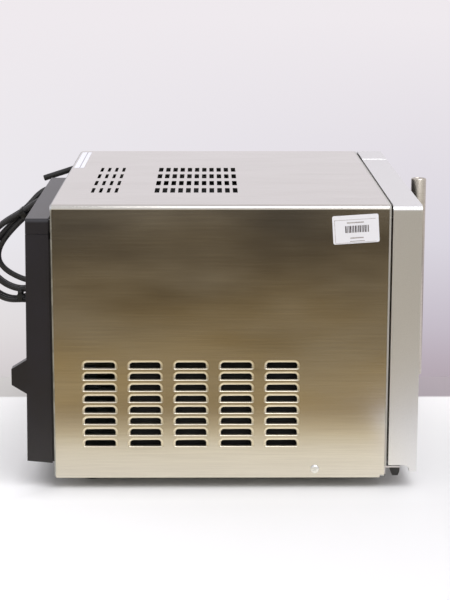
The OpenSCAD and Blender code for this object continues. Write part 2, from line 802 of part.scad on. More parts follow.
module door_frame() {
  color("#d3d2d0") difference() {
    union() {
      difference() {
        slab(ysk, door_t) door_outline(0);
        slab(ysk + skin_t, door_t) door_outline(skin_t);
      }
      lip(x0, dxr);
    }
    slab(ysk - 1, skin_t + 2) panel_hole(cx, fz, window_w, window_h, 8);
    bar_z([hax, hay, zb + door_z - 1], skin_t + 2, 3.4);
  }
}

module outer_glass() {
  color("#2a2c30", 0.5) slab(ysk + skin_t, glass_t)
    panel_hole(cx, fz, window_w + 2 * glass_lap, window_h + 2 * glass_lap, 6);
}

module door_inner_panel() {
  side = x0 + 14;
  za = zb + door_z + skin_t + 2 * fit;
  zc = front_top - skin_t - 2 * fit;
  color("#b7b9bb") difference() {
    union() {
      span([side, ydi - 1.2, za], [dxr - skin_t - 2 * fit, ydi, zc]);
      span([side, ysk + skin_t, za], [side + 1.2, ydi, zc]);
    }
    slab(ydi - 2, 3) panel_hole(cx, fz, window_w, window_h, 8);
    span([side - 1, hay - 5, upper_hinge_z - 1], [hax + crank + 1.5, ydi + 1, upper_hinge_z + hinge_t + 1]);
  }
}

module inner_glass() {
  color("#3a3c40", 0.4) slab(ydi - 1.2 - glass_t, glass_t)
    panel_hole(cx, fz, window_w + 2 * glass_lap, window_h + 2 * glass_lap, 6);
}

module door_gasket() {
  hw = chamber_w / 2;
  color("#5a3b34") slab(ydi, gasket_t) difference() {
    plate(cx - hw - 12, cx + hw + 12, cz - 12, cz + chamber_h + 12, 10, 10, 10, 10);
    plate(cx - hw - 3, cx + hw + 3, cz - 3, cz + chamber_h + 3, 4, 4, 4, 4);
  }
}

module door_magnets() {
  color("#3c3d40") for (z = [zb + 100, zt - 105])
    span([dxr - 14, ydi - 9.2, z - 20], [dxr - 4, ydi - 1.2, z + 20]);
}

module latch_tongues() {
  color("#e9e9e6") for (z = tongue_z) {
    span([tongue_x - 4.5, ydi, z - 12], [tongue_x + 2, ydi + 1.6, z + 12]);
    span([tongue_x - 1.5, ydi + 1.6 - eps, z - 6], [tongue_x + 1.5, ydi + tongue_l, z + 6]);
  }
}

module handle_bar() { color("#a9a39c") bar_z([hx, hy, handle_a], handle_b - handle_a, handle_d / 2); }

module handle_posts() {
  color("#a9a39c") for (z = [handle_a + post_in, handle_b - post_in]) difference() {
    bar_y([hx, hy, z], handle_out, 5.5);
    bar_z([hx, hy, handle_a], handle_b - handle_a, handle_d / 2);
  }
}

// --- control panel ---

keys = [[pcx, key_z[0], key_r], [pcx, key_z[1], key_r],
        [pcx - 18, menu_z, menu_r], [pcx, menu_z - 18, menu_r], [pcx + 18, menu_z, menu_r]];

module control_panel() {
  color("#d3d2d0") difference() {
    union() {
      difference() {
        slab(ysk, door_t) panel_outline(0);
        slab(ysk + skin_t, door_t) panel_outline(skin_t);
      }
      lip(pxl, x1);
      for (x = [pxl + 7, x1 - 7]) for (z = [zb + 34, zt - 29])
        bar_y([x, ysk + skin_t - eps, z], yfl - ysk - skin_t + eps, 4);
    }
    slab(ysk - 1, skin_t + 2) panel_hole(pcx, display_z, display_w, display_h, 2);
    for (k = keys) bar_y([k[0], ysk - 1, k[1]], skin_t + 2, k[2] + key_gap);
    span([pcx - rocker_w / 2 - key_gap, ysk - 1, rocker_z - rocker_r - key_gap],
         [pcx + rocker_w / 2 + key_gap, ysk + skin_t + 1, rocker_z + rocker_r + key_gap]);
  }
}

module display_window() {
  color("#15181c") slab(ysk + skin_t, pane_t)
    panel_hole(pcx, display_z, display_w + 2 * pane_lap, display_h + 2 * pane_lap, 2);
}

module controller_board() {
  color("#1f5c3a") union() {
    span([pxl + board_in, board_y, key_z[1] - board_low],
         [x1 - board_in, board_y + board_t, display_z + display_h / 2 + board_up]);
    span([pcx - display_w / 2, ysk + skin_t + pane_t + 0.4, display_z - display_h / 2],
         [pcx + display_w / 2, board_y + eps, display_z + display_h / 2]);
    for (x = [pxl + board_in + pillar_in, x1 - board_in - pillar_in])
      for (z = [key_z[1] - board_low + 6, menu_z + 16])
        bar_y([x, ysk + skin_t, z], board_y - ysk - skin_t + eps, pillar_r);
  }
}

module button(k) {
  color("#e4e4e2") union() {
    bar_y([k[0], ysk - key_out, k[1]], key_out + skin_t + 0.4, k[2]);
    bar_y([k[0], ysk + skin_t + 0.3, k[1]], 1.2, k[2] + 1.4);
    bar_y([k[0], ysk + skin_t + 1, k[1]], board_y - ysk - skin_t - 2.9, 2.2);
  }
}

// The rocker's face is a shallow V, so that each half lies flush in turn
module power_rocker() {
  face = rocker_y - ysk + 0.5;
  rise = rocker_r * tan(rocker_turn / 2);
  color("#a01c1c") translate([pcx - rocker_w / 2, rocker_y, rocker_z]) rotate([90, 0, 90])
    linear_extrude(rocker_w) intersection() {
      circle(rocker_r);
      rotate(90 + rocker_turn / 2) polygon([[-rocker_r, -3], [rocker_r, -3], [rocker_r, face + rise],
                                            [0, face], [-rocker_r, face + rise]]);
    }
}

// --- rear ---

// Side outline of the duct between two heights, from y = front to d inside its rear face.
// The lower edge rises towards the rear.
function duct_back(z) = duct_d - duct_slope * (z - zb - duct_z) / duct_h;
module duct_side(za, zc, d, front, rise) {
  polygon([[front, za + d], [duct_back(za) - d, za + rise + d], [duct_back(zc) - d, zc - d],
           [front, zc - d]]);
}

module duct_body(xa, xb) {
  translate([xa, duct_y, 0]) rotate([90, 0, 90]) linear_extrude(xb - xa) children();
}

module rear_duct() {
  xa = duct_x;
  xb = duct_x + duct_w;
  za = zb + duct_z;
  rim = duct_t - 1;
  color("#2e2c33") difference() {
    union() {
      difference() {
        duct_body(xa, xb) duct_side(za, cap_z, 0, 0, duct_rise);
        duct_body(xa + duct_t, xb - duct_t) duct_side(za, cap_z + 2 * duct_t, duct_t, -1, duct_rise);
      }
      // rims set in from the walls reach the rear panel
      for (x = [xa + rim, xb - rim - duct_t])
        span([x, yb + rear_t, za + rim], [x + duct_t, duct_y + 6, cap_z - 6]);
      span([xa + rim, yb + rear_t, za + rim], [xb - rim, duct_y + 6, za + rim + duct_t]);
      // wall spacers
      for (x = [xa, xb - spacer_w]) translate([x, duct_y + duct_d - 4, zb]) rotate([90, 0, 90])
        linear_extrude(spacer_w) polygon([[0, 93.5], [2, 93.5], [spacer_out + 4, 104.3],
                                          [spacer_out + 4, 122.2], [2, 133], [0, 133]]);
    }
    for (i = [-6.5:6.5]) span([cx + 11 * i - 2.5, duct_y + 8, cap_z - 82],
                              [cx + 11 * i + 2.5, duct_y + duct_d + 2, cap_z - 26]);
  }
}

module rear_duct_cap() {
  xa = duct_x;
  xb = duct_x + duct_w;
  zc = cap_z + duct_cap_h;
  rim = duct_t - 1;
  color("#37353c") union() {
    difference() {
      intersection() {
        duct_body(xa, xb) duct_side(cap_z + 0.3, zc, 0, 0, 0);
        slab(duct_y - 1, duct_d + 2) arch(xa, xb, cap_z - 1, zc, 4.5);
      }
      duct_body(xa + duct_t, xb - duct_t) duct_side(cap_z - 5, zc, duct_t, -1, 0);
    }
    // feet against the rear panel
    for (x = [xa + rim, xb - rim - 8])
      span([x, yb + rear_t, cap_z + 2], [x + 8, duct_y + 8, zc - duct_t + 1]);
  }
}

module rear_stop_post() {
  color("#1d1d20") translate([cord_x, yb + rear_t, zt - 12]) union() {
    rotate([-90, 0, 0]) cylinder(h = 2.5, r = 8);
    rotate([-90 - 18, 0, 0]) translate([0, 0, 1.3]) cylinder(h = post_l, r = post_r);
  }
}

module strain_relief() {
  color("#1a1a1c") translate([gland_x, yb + rear_t, zb + gland_z]) rotate([-90, 0, 0]) union() {
    cylinder(h = 3, r = 9);
    translate([0, 0, -6]) cylinder(h = 7, r = 5.8);
    translate([0, 0, 3 - eps]) cylinder(h = relief_l - 3, r1 = 6.8, r2 = cord_r + 0.9);
  }
}

// --- mains lead ---

// Tube swept along a route: a ring of points at each of its points, square to its heading
function unit(v) = v / norm(v);
function heading(p, i) = unit(p[min(i + 1, len(p) - 1)] - p[max(i - 1, 0)]);
function ring(c, h, n) = let (up = unit(cross([1, 0, 0], h)), side = cross(h, up))
  [for (k = [0:n - 1]) [cord_x, yb, zb] + c + cord_r * (cos(360 * k / n) * side + sin(360 * k / n) * up)];

module tube(p) {
  n = 12;
  m = len(p);
  points = [for (i = [0:m - 1]) each ring(p[i], heading(p, i), n)];
  sides = [for (i = [0:m - 2]) for (k = [0:n - 1])
    [i * n + k, i * n + (k + 1) % n, (i + 1) * n + (k + 1) % n, (i + 1) * n + k]];
  ends = [[for (k = [n - 1:-1:0]) k], [for (k = [0:n - 1]) (m - 1) * n + k]];
  polyhedron(points, concat(sides, ends));
}

// Oval round the two arcs of the hank, inside its outer edge by d
module hank_oval(d) {
  v = hank_low - hank_up;
  along = atan2(v[1], v[0]);
  open = acos((hank_up_r - hank_low_r) / norm(v));
  function arc(c, r, from, to) = [for (i = [0:24]) let (a = from + (to - from) * i / 24)
                                  c + (r - d) * [cos(a), sin(a)]];
  polygon(concat(arc(hank_low, hank_low_r, along - open, along + open),
                 arc(hank_up, hank_up_r, along + open, along + 360 - open)));
}

module in_cord_plane(x, w) { translate([x, yb, zb]) rotate([90, 0, 90]) linear_extrude(w) children(); }

module cord_lead() { color("#222124") tube(lead_path); }
module cord_tail() { color("#222124") tube(tail_path); }

module cord_hank() {
  color("#222124") in_cord_plane(cord_x - hank_w / 2, hank_w) difference() {
    hank_oval(0);
    hank_oval(hank_t);
  }
}

module cord_ties() {
  color("#111112") for (t = [[71, 232.5, 37.6], [80, 126, 7]])
    translate([cord_x, yb + t[0], zb + t[1]]) rotate([-t[2], 0, 0]) difference() {
      cube([hank_w + 2.6, 5, hank_t + 2.6], center = true);
      cube([hank_w + 0.4, 7, hank_t + 0.4], center = true);
    }
}

module plug() {
  color("#1c1c1f") translate([cord_x, yb + plug_y, zb + plug_top]) mirror([0, 0, 1]) union() {
    cylinder(h = 18, r1 = cord_r + 1, r2 = 8);
    translate([0, 0, 18 - eps]) cylinder(h = 8, r1 = 8, r2 = 17);
    translate([0, 0, 26 - eps]) cylinder(h = 20, r = 17);
    for (s = [-1, 1]) translate([s * 9.5, 0, 45]) cylinder(h = 19, r = 2.4);
  }
}

module labels() {
  color("#f3f3f4") {
    translate([x0 - 0.15, yf + 36, zt - 26.3]) rotate([-3.7, 0, 0])
      translate([0, -25, -15.5]) cube([0.15, 50, 31]);
    span([x0 + 305, yb - 14, zt], [x0 + 460, yb - 2, zt + 0.15]);
  }
}

feet();
base_plate();
cover();
cover_screws();
rear_panel();
front_frame();
chamber();
insulation();
quartz_heaters();
heater_caps();
rack_rails();
rack();
fan_baffle();
fan_plenum();
ring_heater();
fan_motor();
fan_shaft();
fan_impeller();
motor_blade();
thermocouple();
compartment_wall();
power_supply();
heat_sink();
relays();
terminal_block();
cooling_fan_frame();
cooling_fan_rotor();
interlock_switches();
upper_hinge();
lower_hinge();
hinge_cap();
hinge_bushes();
door_frame();
outer_glass();
door_inner_panel();
inner_glass();
door_gasket();
door_magnets();
latch_tongues();
handle_bar();
handle_posts();
control_panel();
display_window();
controller_board();
power_rocker();
button(keys[0]);  // start_button
button(keys[1]);  // stop_button
button(keys[2]);  // up_button
button(keys[4]);  // down_button
button(keys[3]);  // select_button
rear_duct();
rear_duct_cap();
rear_stop_post();
strain_relief();
cord_lead();
cord_hank();
cord_tail();
cord_ties();
plug();
labels();
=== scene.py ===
"""Bench reflow oven with infrared and fan-driven heating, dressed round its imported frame."""
import bmesh
import bpy
from math import cos, pi, radians, sin
from mathutils import Matrix, Vector


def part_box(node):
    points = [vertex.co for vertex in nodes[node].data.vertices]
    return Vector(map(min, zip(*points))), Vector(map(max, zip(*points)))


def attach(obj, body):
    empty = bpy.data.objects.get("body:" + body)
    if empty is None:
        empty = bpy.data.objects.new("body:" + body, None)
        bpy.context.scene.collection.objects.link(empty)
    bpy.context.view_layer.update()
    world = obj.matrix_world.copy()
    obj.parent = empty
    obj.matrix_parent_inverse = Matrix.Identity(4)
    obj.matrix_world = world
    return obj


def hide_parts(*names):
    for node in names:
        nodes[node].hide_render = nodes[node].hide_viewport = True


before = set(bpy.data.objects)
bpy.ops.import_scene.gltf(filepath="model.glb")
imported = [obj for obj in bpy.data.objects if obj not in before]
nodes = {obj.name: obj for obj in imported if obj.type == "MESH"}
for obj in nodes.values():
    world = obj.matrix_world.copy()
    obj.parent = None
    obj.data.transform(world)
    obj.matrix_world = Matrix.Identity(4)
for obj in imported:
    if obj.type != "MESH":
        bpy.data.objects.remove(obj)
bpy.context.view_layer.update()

# --- Camera -------------------------------------------------------------------
# Stands 1.9 m from the hinge side, a little above the cover, and looks slightly down.
# It takes in the whole cabinet and the lead behind it.

view = bpy.data.cameras.new("camera")
view.lens = 105
view.sensor_width = 36
view.sensor_fit = "AUTO"
camera = bpy.data.objects.new("camera", view)
bpy.context.scene.collection.objects.link(camera)
turn = Matrix.Rotation(radians(-90.561), 4, "Z") @ Matrix.Rotation(radians(90 - 11.818), 4, "X")
camera.matrix_world = Matrix.Translation((-2.1009, 0.0307, 0.603)) @ turn @ Matrix.Rotation(
    radians(0.088), 4, "Z")
bpy.context.scene.camera = camera

# --- Mains lead ---------------------------------------------------------------
# Black rubber-sheathed lead, 7.3 mm thick, folded into a hank beside the rear duct.
# It leaves the strain relief, makes four turns and a half, and hangs down into its plug.

mm = 0.001


def corners(node):
    """A CAD node's lowest and highest corners in millimetres"""
    return [[round(part * 1000, 2) for part in corner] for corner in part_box(node)]


# The cover's sides hang a little below the base, from which heights are counted
HANG = 1
(LEFT, FRONT, hem_height), (RIGHT, REAR, TOP) = corners("cover")
BASE = hem_height + HANG
BACK = corners("rear_panel")[1][1]
LEAD_R = 3.65
HANK_X = RIGHT - 81
# The bundle's upper and lower bends: the centre's distance behind the cover and height, and the radius
BEND_UP, BEND_UP_R = (36.0, 226.0), 33.0
BEND_LOW, BEND_LOW_R = (85.0, 168.0), 49.0


def linear(hex_colour):
    """Linear colour of an sRGB hex value"""
    parts = [int(hex_colour[i:i + 2], 16) / 255 for i in (1, 3, 5)]
    return tuple(c / 12.92 if c <= 0.04045 else ((c + 0.055) / 1.055) ** 2.4 for c in parts) + (1.0,)


def add(material, kind, links=None, **settings):
    """Adds a node with its settings; links gives a socket a value or another node's output"""
    node = material.node_tree.nodes.new("ShaderNode" + kind)
    for name, value in settings.items():
        setattr(node, name, value)
    for socket, value in (links or {}).items():
        if isinstance(value, bpy.types.NodeSocket):
            material.node_tree.links.new(value, node.inputs[socket])
        else:
            node.inputs[socket].default_value = value
    return node


def surface(name, colour, roughness, metallic=0.0, **more):
    """A new material: its shader, ready for links, with its constants on its own sockets"""
    material = bpy.data.materials.new(name)
    material.use_nodes = True
    shader = material.node_tree.nodes["Principled BSDF"]
    shader.inputs["Base Color"].default_value = linear(colour)
    shader.inputs["Roughness"].default_value = roughness
    shader.inputs["Metallic"].default_value = metallic
    for socket, value in more.items():
        shader.inputs[socket.replace("_", " ")].default_value = value
    return material, shader


def ramp(material, factor, stops):
    """Colours or greys along a factor: (place, hex colour) pairs"""
    node = add(material, "ValToRGB", {"Fac": factor})
    while len(node.color_ramp.elements) < len(stops):
        node.color_ramp.elements.new(0.5)
    for element, (place, colour) in zip(node.color_ramp.elements, stops):
        element.position = place
        element.color = linear(colour)
    return node.outputs["Color"]


def join(material, output, shader, socket):
    """Links an output to a shader's socket"""
    material.node_tree.links.new(output, shader.inputs[socket])


def mottle(material, shader, factor, stops):
    """Varies a material's colour along a factor, as ramp does"""
    join(material, ramp(material, factor, stops), shader, "Base Color")


def place_on(material, scale=(1, 1, 1)):
    """Object coordinates in metres, stretched"""
    where = add(material, "TexCoord").outputs["Object"]
    return add(material, "Mapping", {"Vector": where, "Scale": scale}).outputs[0]


def noise(material, size, scale=(1, 1, 1), detail=2.0, roughness=0.5):
    """Cloudy pattern whose lumps are about size metres across"""
    return add(material, "TexNoise", {"Vector": place_on(material, scale), "Scale": 1 / size,
                                      "Detail": detail, "Roughness": roughness}).outputs["Fac"]


def bump(material, shader, height, distance, strength, under=None):
    """Relief of a distance in metres, on top of another bump's where one is given"""
    links = {"Height": height, "Distance": distance, "Strength": strength}
    if under is not None:
        links["Normal"] = under
    node = add(material, "Bump", links)
    join(material, node.outputs["Normal"], shader, "Normal")
    return node.outputs["Normal"]


def curved(points, step, rounds):
    """Points about step apart along a smooth curve near the given ones, relaxed so that it bends evenly"""
    points = [Vector(p) for p in points]
    points = [2 * points[0] - points[1]] + points + [2 * points[-1] - points[-2]]
    line = []
    for a, b, c, d in zip(points, points[1:], points[2:], points[3:]):
        count = max(2, round((c - b).length / step))
        for i in range(count):
            t = i / count
            line.append(0.5 * (2 * b + (c - a) * t + (2 * a - 5 * b + 4 * c - d) * t ** 2
                               + (3 * b - a - 3 * c + d) * t ** 3))
    line.append(points[-2])
    for _ in range(rounds):
        middle = [(a + 2 * b + c) / 4 for a, b, c in zip(line[1:-3], line[2:-2], line[3:-1])]
        line = line[:2] + middle + line[-2:]
    return line


def on_bend(centre, radius, angle):
    """The distance behind the cover and the height of a point on a bend"""
    return (centre[0] + radius * cos(radians(angle)), centre[1] + radius * sin(radians(angle)))


# Where each pass of the lead lies in the bundle: to the right of its middle, and inwards from its edge
passes = [(7.4, 3.4), (3.7, 9.8), (-3.7, 9.8), (0.0, 3.4), (-7.4, 3.4)]
# The three sizes of loop below the upper tie: distance behind the cover, height over the base
wide = [(88, 227.5), (101, 219), (113, 208), (123, 194), (129.5, 177.5), (130, 160), (124.5, 143.5),
        (114.5, 130), (101, 121), (87, 117.5), (73, 120)]
middling = [(86, 221), (99, 208), (110.5, 194), (118.5, 179), (119.5, 165), (114.5, 152.5),
            (105, 143), (94, 136), (82, 131.5), (69, 131.5)]
small = [(84, 215.5), (94.5, 203.5), (104, 191), (108.5, 178), (106, 166.5), (98, 158),
         (87, 151.5), (76, 146), (64, 142.5)]
loops = [wide, middling, small, middling, wide]
loop_side = [7.4, 5.6, -1.6, -2.0, -7.4]

# The route's points: to the right of the bundle's middle, behind the cover, over the base
route = [(22, 31, 264), (22, 35.5, 264), (22, 40, 264), (20, 48, 261), (15.5, 55.5, 255),
         (11, 62, 247), (8.5, 67, 240)]
for k, ((side, inwards), loop) in enumerate(zip(passes, loops)):
    if k:
        for angle in (185, 150, 118, 85, 60):
            d, h = on_bend(BEND_UP, BEND_UP_R - inwards, angle)
            route.append((side, d, h))
    route.append((side, 71 + 0.61 * (6.5 - inwards), 232.5 + 0.79 * (6.5 - inwards)))
    route += [(side + (loop_side[k] - side) * min(1, i / 2), d, h) for i, (d, h) in enumerate(loop)]
    if k < len(passes) - 1:
        d, h = on_bend(BEND_LOW, BEND_LOW_R - inwards, -140)
        route.append((side, d, h))
        d, h = on_bend(BEND_LOW, BEND_LOW_R - inwards, -152)
        e, i = on_bend(BEND_UP, BEND_UP_R - passes[k + 1][1], 208)
        route.append(((side + passes[k + 1][0]) / 2, (d + e) / 2, (h + i) / 2))
route[-1] = (-6.5, 76.5, 120.5)
route += [(-4, 66.5, 119), (-1.5, 58, 114), (0, 51.3, 107), (0, 47.2, 98.5), (0, 46, 90), (0, 46, 80)]
lead_line = [Vector((HANK_X + a, REAR + d, BASE + h)) * mm for a, d, h in curved(route, 4, 14)]


def wire(name, radius, roundness, lines):
    """A round wire along each line of points, its radius in millimetres"""
    curve = bpy.data.curves.new(name, "CURVE")
    curve.dimensions = "3D"
    curve.bevel_depth = radius * mm
    curve.bevel_resolution = roundness
    curve.resolution_u = 1
    for line in lines:
        strand = curve.splines.new("POLY")
        strand.points.add(len(line) - 1)
        for point, place in zip(strand.points, line):
            point.co = (*place, 1)
    piece = bpy.data.objects.new(name, curve)
    bpy.context.scene.collection.objects.link(piece)
    return piece


lead = wire("mains_lead", LEAD_R, 4, [lead_line])

# Rubber sheath, extruded: matt black with a faint grey bloom, smooth to the touch
sheath, shader = surface("rubber_sheath", "#232225", 0.42, Specular_IOR_Level=0.5)
bloom = noise(sheath, 0.02, detail=3)
mottle(sheath, shader, bloom, [(0.3, "#1d1c1f"), (0.75, "#2d2c30")])
bump(sheath, shader, noise(sheath, 0.0012, detail=1), 0.00008, 0.5)
lead.data.materials.append(sheath)
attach(lead, "cabinet")
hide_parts("cord_lead", "cord_hank", "cord_tail")

# --- Cord ties ----------------------------------------------------------------
# Two releasable nylon straps, wrapped round the hank above and below.
# Each is closed by its small latch.

# Each tie's distance behind the cover, its height over the base and its tilt in degrees
tie_places = [(71, 232.5, 37.6), (78, 124.5, 4.0)]


def pick(*objects):
    """Selects these objects alone, in object mode"""
    if bpy.context.mode != "OBJECT":
        bpy.ops.object.mode_set(mode="OBJECT")
    bpy.ops.object.select_all(action="DESELECT")
    for item in objects:
        item.select_set(True)
        bpy.context.view_layer.objects.active = item


def apply(piece, kind, **settings):
    """Gives a piece a modifier with its settings, and applies it"""
    pick(piece)
    modifier = piece.modifiers.new(kind.lower(), kind)
    for name, value in settings.items():
        setattr(modifier, name, value)
    bpy.ops.object.modifier_apply(modifier=modifier.name)


def block(name, low, high):
    """A cube primitive between two corners, in millimetres"""
    low, high = Vector(low) * mm, Vector(high) * mm
    pick()
    bpy.ops.mesh.primitive_cube_add(size=1, location=(low + high) / 2, scale=high - low)
    bpy.ops.object.transform_apply(location=True, rotation=True, scale=True)
    piece = bpy.context.object
    piece.name = piece.data.name = name
    return piece


def choose(piece, kind, test):
    """Opens a piece and selects what passes a test: faces by (middle, normal), edges by (middle, direction),
    vertices by (place, normal), all lengths in millimetres"""
    if bpy.context.mode == "OBJECT":
        pick(piece)
        bpy.ops.object.mode_set(mode="EDIT")
    bpy.ops.mesh.select_mode(type=kind)
    bpy.ops.mesh.select_all(action="DESELECT")
    mesh = bmesh.from_edit_mesh(piece.data)
    if kind == "FACE":
        for face in mesh.faces:
            face.select_set(bool(test(face.calc_center_median() * 1000, face.normal)))
    elif kind == "EDGE":
        for edge in mesh.edges:
            a, b = (v.co for v in edge.verts)
            edge.select_set(bool(test((a + b) * 500, (b - a).normalized())))
    else:
        for vertex in mesh.verts:
            vertex.select_set(bool(test(vertex.co * 1000, vertex.normal)))
    mesh.select_flush_mode()
    bmesh.update_edit_mesh(piece.data)


def finish_shell():
    """Turns all faces of the open piece outwards, and goes back to object mode"""
    bpy.ops.mesh.select_all(action="SELECT")
    bpy.ops.mesh.normals_make_consistent(inside=False)
    bpy.ops.object.mode_set(mode="OBJECT")


def rounded(piece, width, segments=2, angle=30):
    """Rounds the edges sharper than an angle, width in millimetres, and shades it smooth"""
    apply(piece, "BEVEL", width=width * mm, segments=segments, limit_method="ANGLE",
          angle_limit=radians(angle), miter_outer="MITER_ARC")
    pick(piece)
    bpy.ops.object.shade_smooth_by_angle(angle=radians(40))
    apply(piece, "WEIGHTED_NORMAL", keep_sharp=True, weight=80)
    return piece


def stand(piece, matrix):
    """Puts a piece made at the origin in its place, with its place in its mesh"""
    piece.matrix_world = matrix @ piece.matrix_world
    pick(piece)
    bpy.ops.object.transform_apply(location=True, rotation=True, scale=True)
    return piece


def gather(name, pieces):
    """Joins pieces into one"""
    pick(*pieces)
    if len(pieces) > 1:
        bpy.ops.object.join()
    whole = bpy.context.object
    whole.name = whole.data.name = name
    return whole


def dress(piece, body, slot, material, *replaced):
    """Fixes a finished piece to its body, with its finish, in place of its CAD nodes"""
    piece.data.materials.clear()
    piece.data.materials.append(material)
    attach(piece, body)
    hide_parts(*replaced)
    return piece


# Nylon 6, moulded: glossy black, edges softened by the mould
nylon, shader = surface("moulded_nylon", "#141416", 0.35)
bump(nylon, shader, noise(nylon, 0.004), 0.00005, 0.4)

# Each strap is an open sleeve with rounded corners, given its wall, and has a latch on its left
straps = []
for d, h, tilt in tie_places:
    band = block("band", (-12.3, -2.5, -7.9), (12.3, 2.5, 7.9))
    choose(band, "FACE", lambda at, normal: abs(normal.y) > 0.9)
    bpy.ops.mesh.delete(type="FACE")
    choose(band, "EDGE", lambda at, way: abs(way.y) > 0.9)
    bpy.ops.mesh.bevel(offset=3.2 * mm, segments=5)
    finish_shell()
    apply(band, "SOLIDIFY", thickness=1.2 * mm, offset=0)
    rounded(band, 0.3)
    latch = rounded(block("latch", (-14.6, -3.6, -3.4), (-11.6, 3.6, 3.4)), 0.8)
    strap = gather("strap", [band, latch])
    straps.append(stand(strap, Matrix.Translation(Vector((HANK_X, REAR + d, BASE + h)) * mm)
                        @ Matrix.Rotation(radians(-tilt), 4, "X")))
cord_ties = dress(gather("nylon_straps", straps), "cabinet", "black_plastic", nylon, "cord_ties")

# --- Mains plug ---------------------------------------------------------------
# Two-pin plug moulded on the lead, with a ribbed grip and nickel-plated brass pins.
# The body is turned round its own axis, and the pins stand in its face.

PLUG_TOP = (HANK_X, REAR + 46, BASE + 80)


def turned(name, profile, steps=48):
    """A piece turned round +Z from (radius, height) pairs in millimetres, with a face over each end"""
    pick()
    first = profile[0]
    bpy.ops.mesh.primitive_circle_add(vertices=steps, radius=max(first[0], 0.01) * mm,
                                      location=(0, 0, first[1] * mm))
    bpy.ops.object.transform_apply(location=True, rotation=True, scale=True)
    piece = bpy.context.object
    bpy.ops.object.mode_set(mode="EDIT")
    bpy.ops.mesh.select_mode(type="EDGE")
    bpy.ops.mesh.select_all(action="SELECT")
    bpy.ops.mesh.edge_face_add()
    bpy.ops.mesh.select_mode(type="EDGE")
    radius, height = max(first[0], 0.01), first[1]
    for r, h in profile[1:]:
        bpy.ops.mesh.extrude_edges_move(TRANSFORM_OT_translate={"value": (0, 0, (h - height) * mm)})
        bpy.ops.transform.resize(value=(max(r, 0.01) / radius, max(r, 0.01) / radius, 1),
                                 center_override=(0, 0, h * mm))
        radius, height = max(r, 0.01), h
    bpy.ops.mesh.edge_face_add()
    finish_shell()
    piece.name = piece.data.name = name
    bpy.ops.object.shade_smooth_by_angle(angle=radians(35))
    return piece


grip = [(4.4, 0), (4.8, 1.2)]
for k in range(5):
    grip += [(5.0 + 0.65 * k, 2.2 + 3 * k), (5.0 + 0.65 * k, 4.2 + 3 * k), (4.6 + 0.65 * k, 4.6 + 3 * k)]
grip += [(8, 18), (12.5, 20.2), (15.6, 23), (16.8, 26), (17, 28), (17, 44), (16.4, 45.6), (15.4, 46),
         (0.02, 46)]
plug_body = turned("plug_body", grip)
pins = []
for side in (-9.5, 9.5):
    pin = turned("pin", [(2.4, 45), (2.4, 62.4), (2.1, 63.5), (1.4, 64), (0.02, 64)], 24)
    pins.append(stand(pin, Matrix.Translation((side * mm, 0, 0))))
hang = Matrix.Translation(Vector(PLUG_TOP) * mm) @ Matrix.Rotation(pi, 4, "X")
plug_body = stand(plug_body, hang)
plug_pins = stand(gather("plug_pins", pins), hang)

# Thermoplastic, moulded: satin black
moulding, shader = surface("moulded_black_plastic", "#1c1c1f", 0.38)
bump(moulding, shader, noise(moulding, 0.0015, detail=1), 0.00004, 0.5)
# Brass, nickel-plated: bright, with faint turning marks
plating, shader = surface("nickel_plate", "#ecedf0", 0.3, 1.0)
bump(plating, shader, noise(plating, 0.002, (1, 1, 9)), 0.00003, 0.4)
dress(plug_body, "cabinet", "black_plastic", moulding, "plug")
dress(plug_pins, "cabinet", "screw_steel", plating, "plug")

# --- Strain relief ------------------------------------------------------------
# A bushing moulded in rubber, which holds the lead where it leaves the rear panel.
# Its collar seats on the panel, and its ribbed cone bends with the lead.

GLAND = (RIGHT - 59, BACK, BASE + 264)
cone = [(5.8, -6), (5.8, 0), (9, 0.05), (9, 2.4), (8.4, 3), (6.8, 3.2), (6.8, 5)]
for k in range(6):
    r, h = 6.6 - 0.34 * k, 5.6 + 3.9 * k
    cone += [(r - 1.3, h), (r - 1.3, h + 1.2), (r, h + 1.5), (r - 0.1, h + 3.7)]
cone += [(4.55, 29.2), (3.7, 29.5), (0.02, 29.5)]
relief = stand(turned("strain_relief_bushing", cone, 40),
               Matrix.Translation(Vector(GLAND) * mm) @ Matrix.Rotation(-pi / 2, 4, "X"))
dress(relief, "cabinet", "black_rubber", sheath, "strain_relief")

# --- Room ---------------------------------------------------------------------
# Pale table top and backdrop, and one broad soft lamp.
# The room is darker on the hinge side, where the cover's steel mirrors it.

# White cloth on the table. To the eye it is darker towards the front, a painted shade, and behind the
# cabinet it takes the backdrop's tones, darker to the right. To reflected and bounced light it is browner
# away from the cabinet, a painted reflection of the darker room that the cover's steel mirrors
cloth, shader = surface("white_cloth", "#f4f4f5", 0.6)
spot = add(cloth, "SeparateXYZ", {"Vector": add(cloth, "TexCoord").outputs["Object"]}).outputs
rays = add(cloth, "LightPath").outputs["Is Camera Ray"]
across = add(cloth, "MapRange", {"Value": spot["Y"], "From Min": -0.27, "From Max": 0.3}).outputs[0]
backdrop_tones = ramp(cloth, across, [(0.0, "#a69ca3"), (1.0, "#c7c5c3")])
beyond = add(cloth, "MapRange", {"Value": spot["X"], "From Min": 0.148, "From Max": 0.156}).outputs[0]
# To the eye the cloth is painted a little darker towards the front: painted shade
away = add(cloth, "MapRange", {"Value": spot["X"], "From Min": -0.30, "From Max": 0.05}).outputs[0]
white = ramp(cloth, away, [(0.0, "#e4e4e6"), (1.0, "#fcfcfd")])
plain = add(cloth, "MixRGB", {"Fac": beyond, "Color1": white, "Color2": backdrop_tones}).outputs[0]
